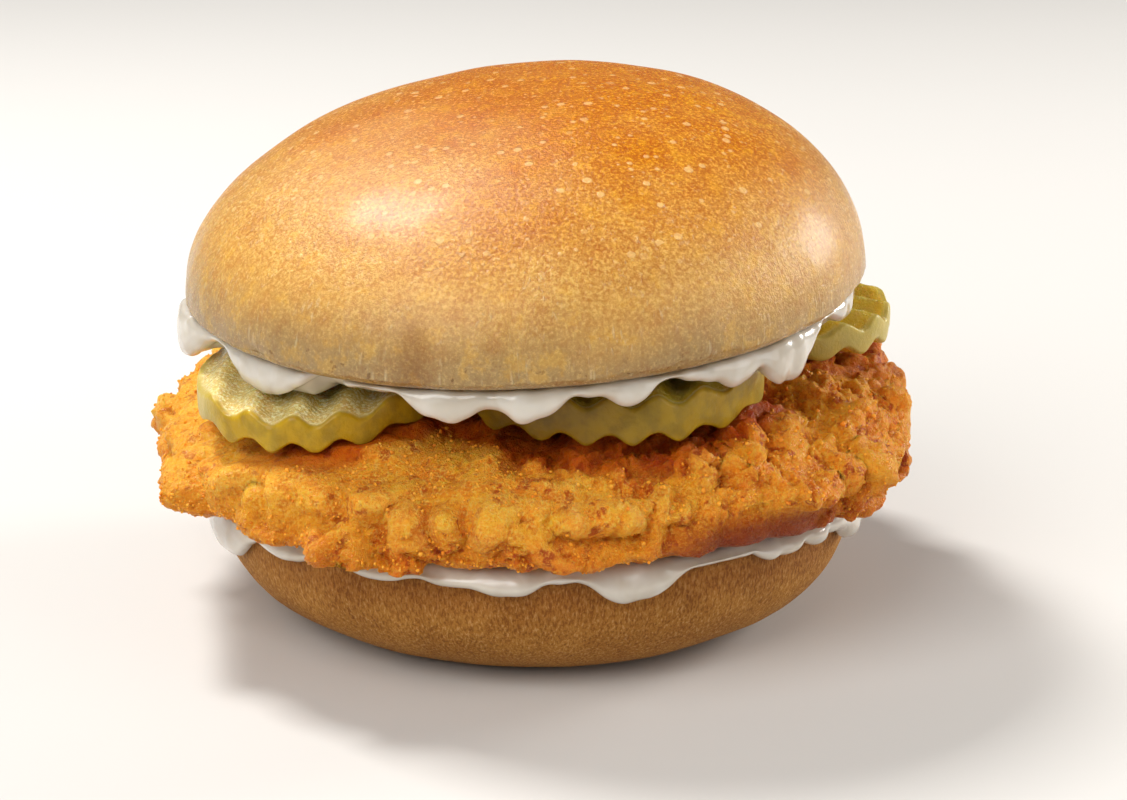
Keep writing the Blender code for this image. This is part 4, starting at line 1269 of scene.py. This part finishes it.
class MakeStage(bpy.types.Operator):
    """Make the floor, the lights and the camera"""

    bl_idname = "burger.make_stage"
    bl_label = "Stage"

    def execute(self, context):
        look = context.scene.burger_stage
        self.add_floor(context, look)
        self.add_camera(context, look)
        for light in LIGHTS:
            self.add_light(context, *light)
        world = bpy.data.worlds.new("soft_room")
        world.use_nodes = True
        room = world.node_tree.nodes["Background"]
        room.inputs["Color"].default_value = ROOM_COLOUR
        room.inputs["Strength"].default_value = ROOM_LIGHT
        context.scene.world = world
        context.scene.view_settings.view_transform = "Standard"
        return {"FINISHED"}

    def add_floor(self, context, look):
        """A square sheet under the burger."""
        half = 0.5 * look.floor_width
        mesh = bpy.data.meshes.new("floor")
        corners = [(-half, -half, 0.0), (half, -half, 0.0), (half, half, 0.0), (-half, half, 0.0)]
        mesh.from_pydata(corners, [], [(0, 1, 2, 3)])
        mesh.materials.append(pale_floor(look))
        floor = bpy.data.objects.new("floor", mesh)
        context.scene.collection.objects.link(floor)

    def add_camera(self, context, look):
        """The photo's view: level with the horizon turned down by the elevation."""
        lens = bpy.data.cameras.new("camera")
        lens.lens = look.lens
        lens.sensor_width = 36.0
        lens.clip_start = CAMERA_NEAR
        camera = bpy.data.objects.new("camera", lens)
        away = Vector((0.0, -math.cos(look.elevation), math.sin(look.elevation)))
        camera.location = CAMERA_AIM + look.distance * away
        camera.rotation_euler = (0.5 * math.pi - look.elevation, 0.0, 0.0)
        context.scene.collection.objects.link(camera)
        context.scene.camera = camera

    def add_light(self, context, name, way, far, width, power, colour):
        """A square soft box that faces the burger."""
        way = Vector(way)
        box = bpy.data.lights.new(name, "AREA")
        box.shape = "SQUARE"
        box.size = width
        box.energy = power
        box.color = colour
        lamp = bpy.data.objects.new(name, box)
        lamp.location = LIGHTS_AIM + far * way.normalized()
        lamp.rotation_euler = way.to_track_quat("Z", "Y").to_euler()
        context.scene.collection.objects.link(lamp)


MAKERS = (MakeHeel, MakeLowerSauce, MakePatty, MakePickles, MakeUpperSauce, MakeCrown, MakeStage)
LOOKS = {"burger_bun": BunLook, "burger_breading": BreadingLook, "burger_pickle": PickleLook,
         "burger_sauce": SauceLook, "burger_stage": StageLook}


class BurgerPanel(bpy.types.Panel):
    """Sidebar panel with the burger's makers and colours"""

    bl_idname = "VIEW3D_PT_burger"
    bl_label = "Chicken burger"
    bl_space_type = "VIEW_3D"
    bl_region_type = "UI"
    bl_category = "Burger"

    def draw(self, context):
        for maker in MAKERS:
            self.layout.operator(maker.bl_idname)
        for key, look in LOOKS.items():
            box = self.layout.box()
            for name in look.__annotations__:
                box.prop(getattr(context.scene, key), name)


def register():
    """Register the classes and hang the settings on the scene."""
    for kind in (*LOOKS.values(), *MAKERS, BurgerPanel):
        bpy.utils.register_class(kind)
    for key, look in LOOKS.items():
        setattr(bpy.types.Scene, key, bpy.props.PointerProperty(type=look))


def unregister():
    """Take the settings off the scene and unregister the classes."""
    for key in LOOKS:
        delattr(bpy.types.Scene, key)
    for kind in reversed((*LOOKS.values(), *MAKERS, BurgerPanel)):
        bpy.utils.unregister_class(kind)


def main():
    """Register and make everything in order."""
    register()
    bpy.ops.burger.make_heel()
    bpy.ops.burger.make_lower_sauce()
    bpy.ops.burger.make_patty()
    bpy.ops.burger.make_pickles()
    bpy.ops.burger.make_upper_sauce()
    bpy.ops.burger.make_crown()
    bpy.ops.burger.make_stage()


if __name__ == "__main__":
    main()
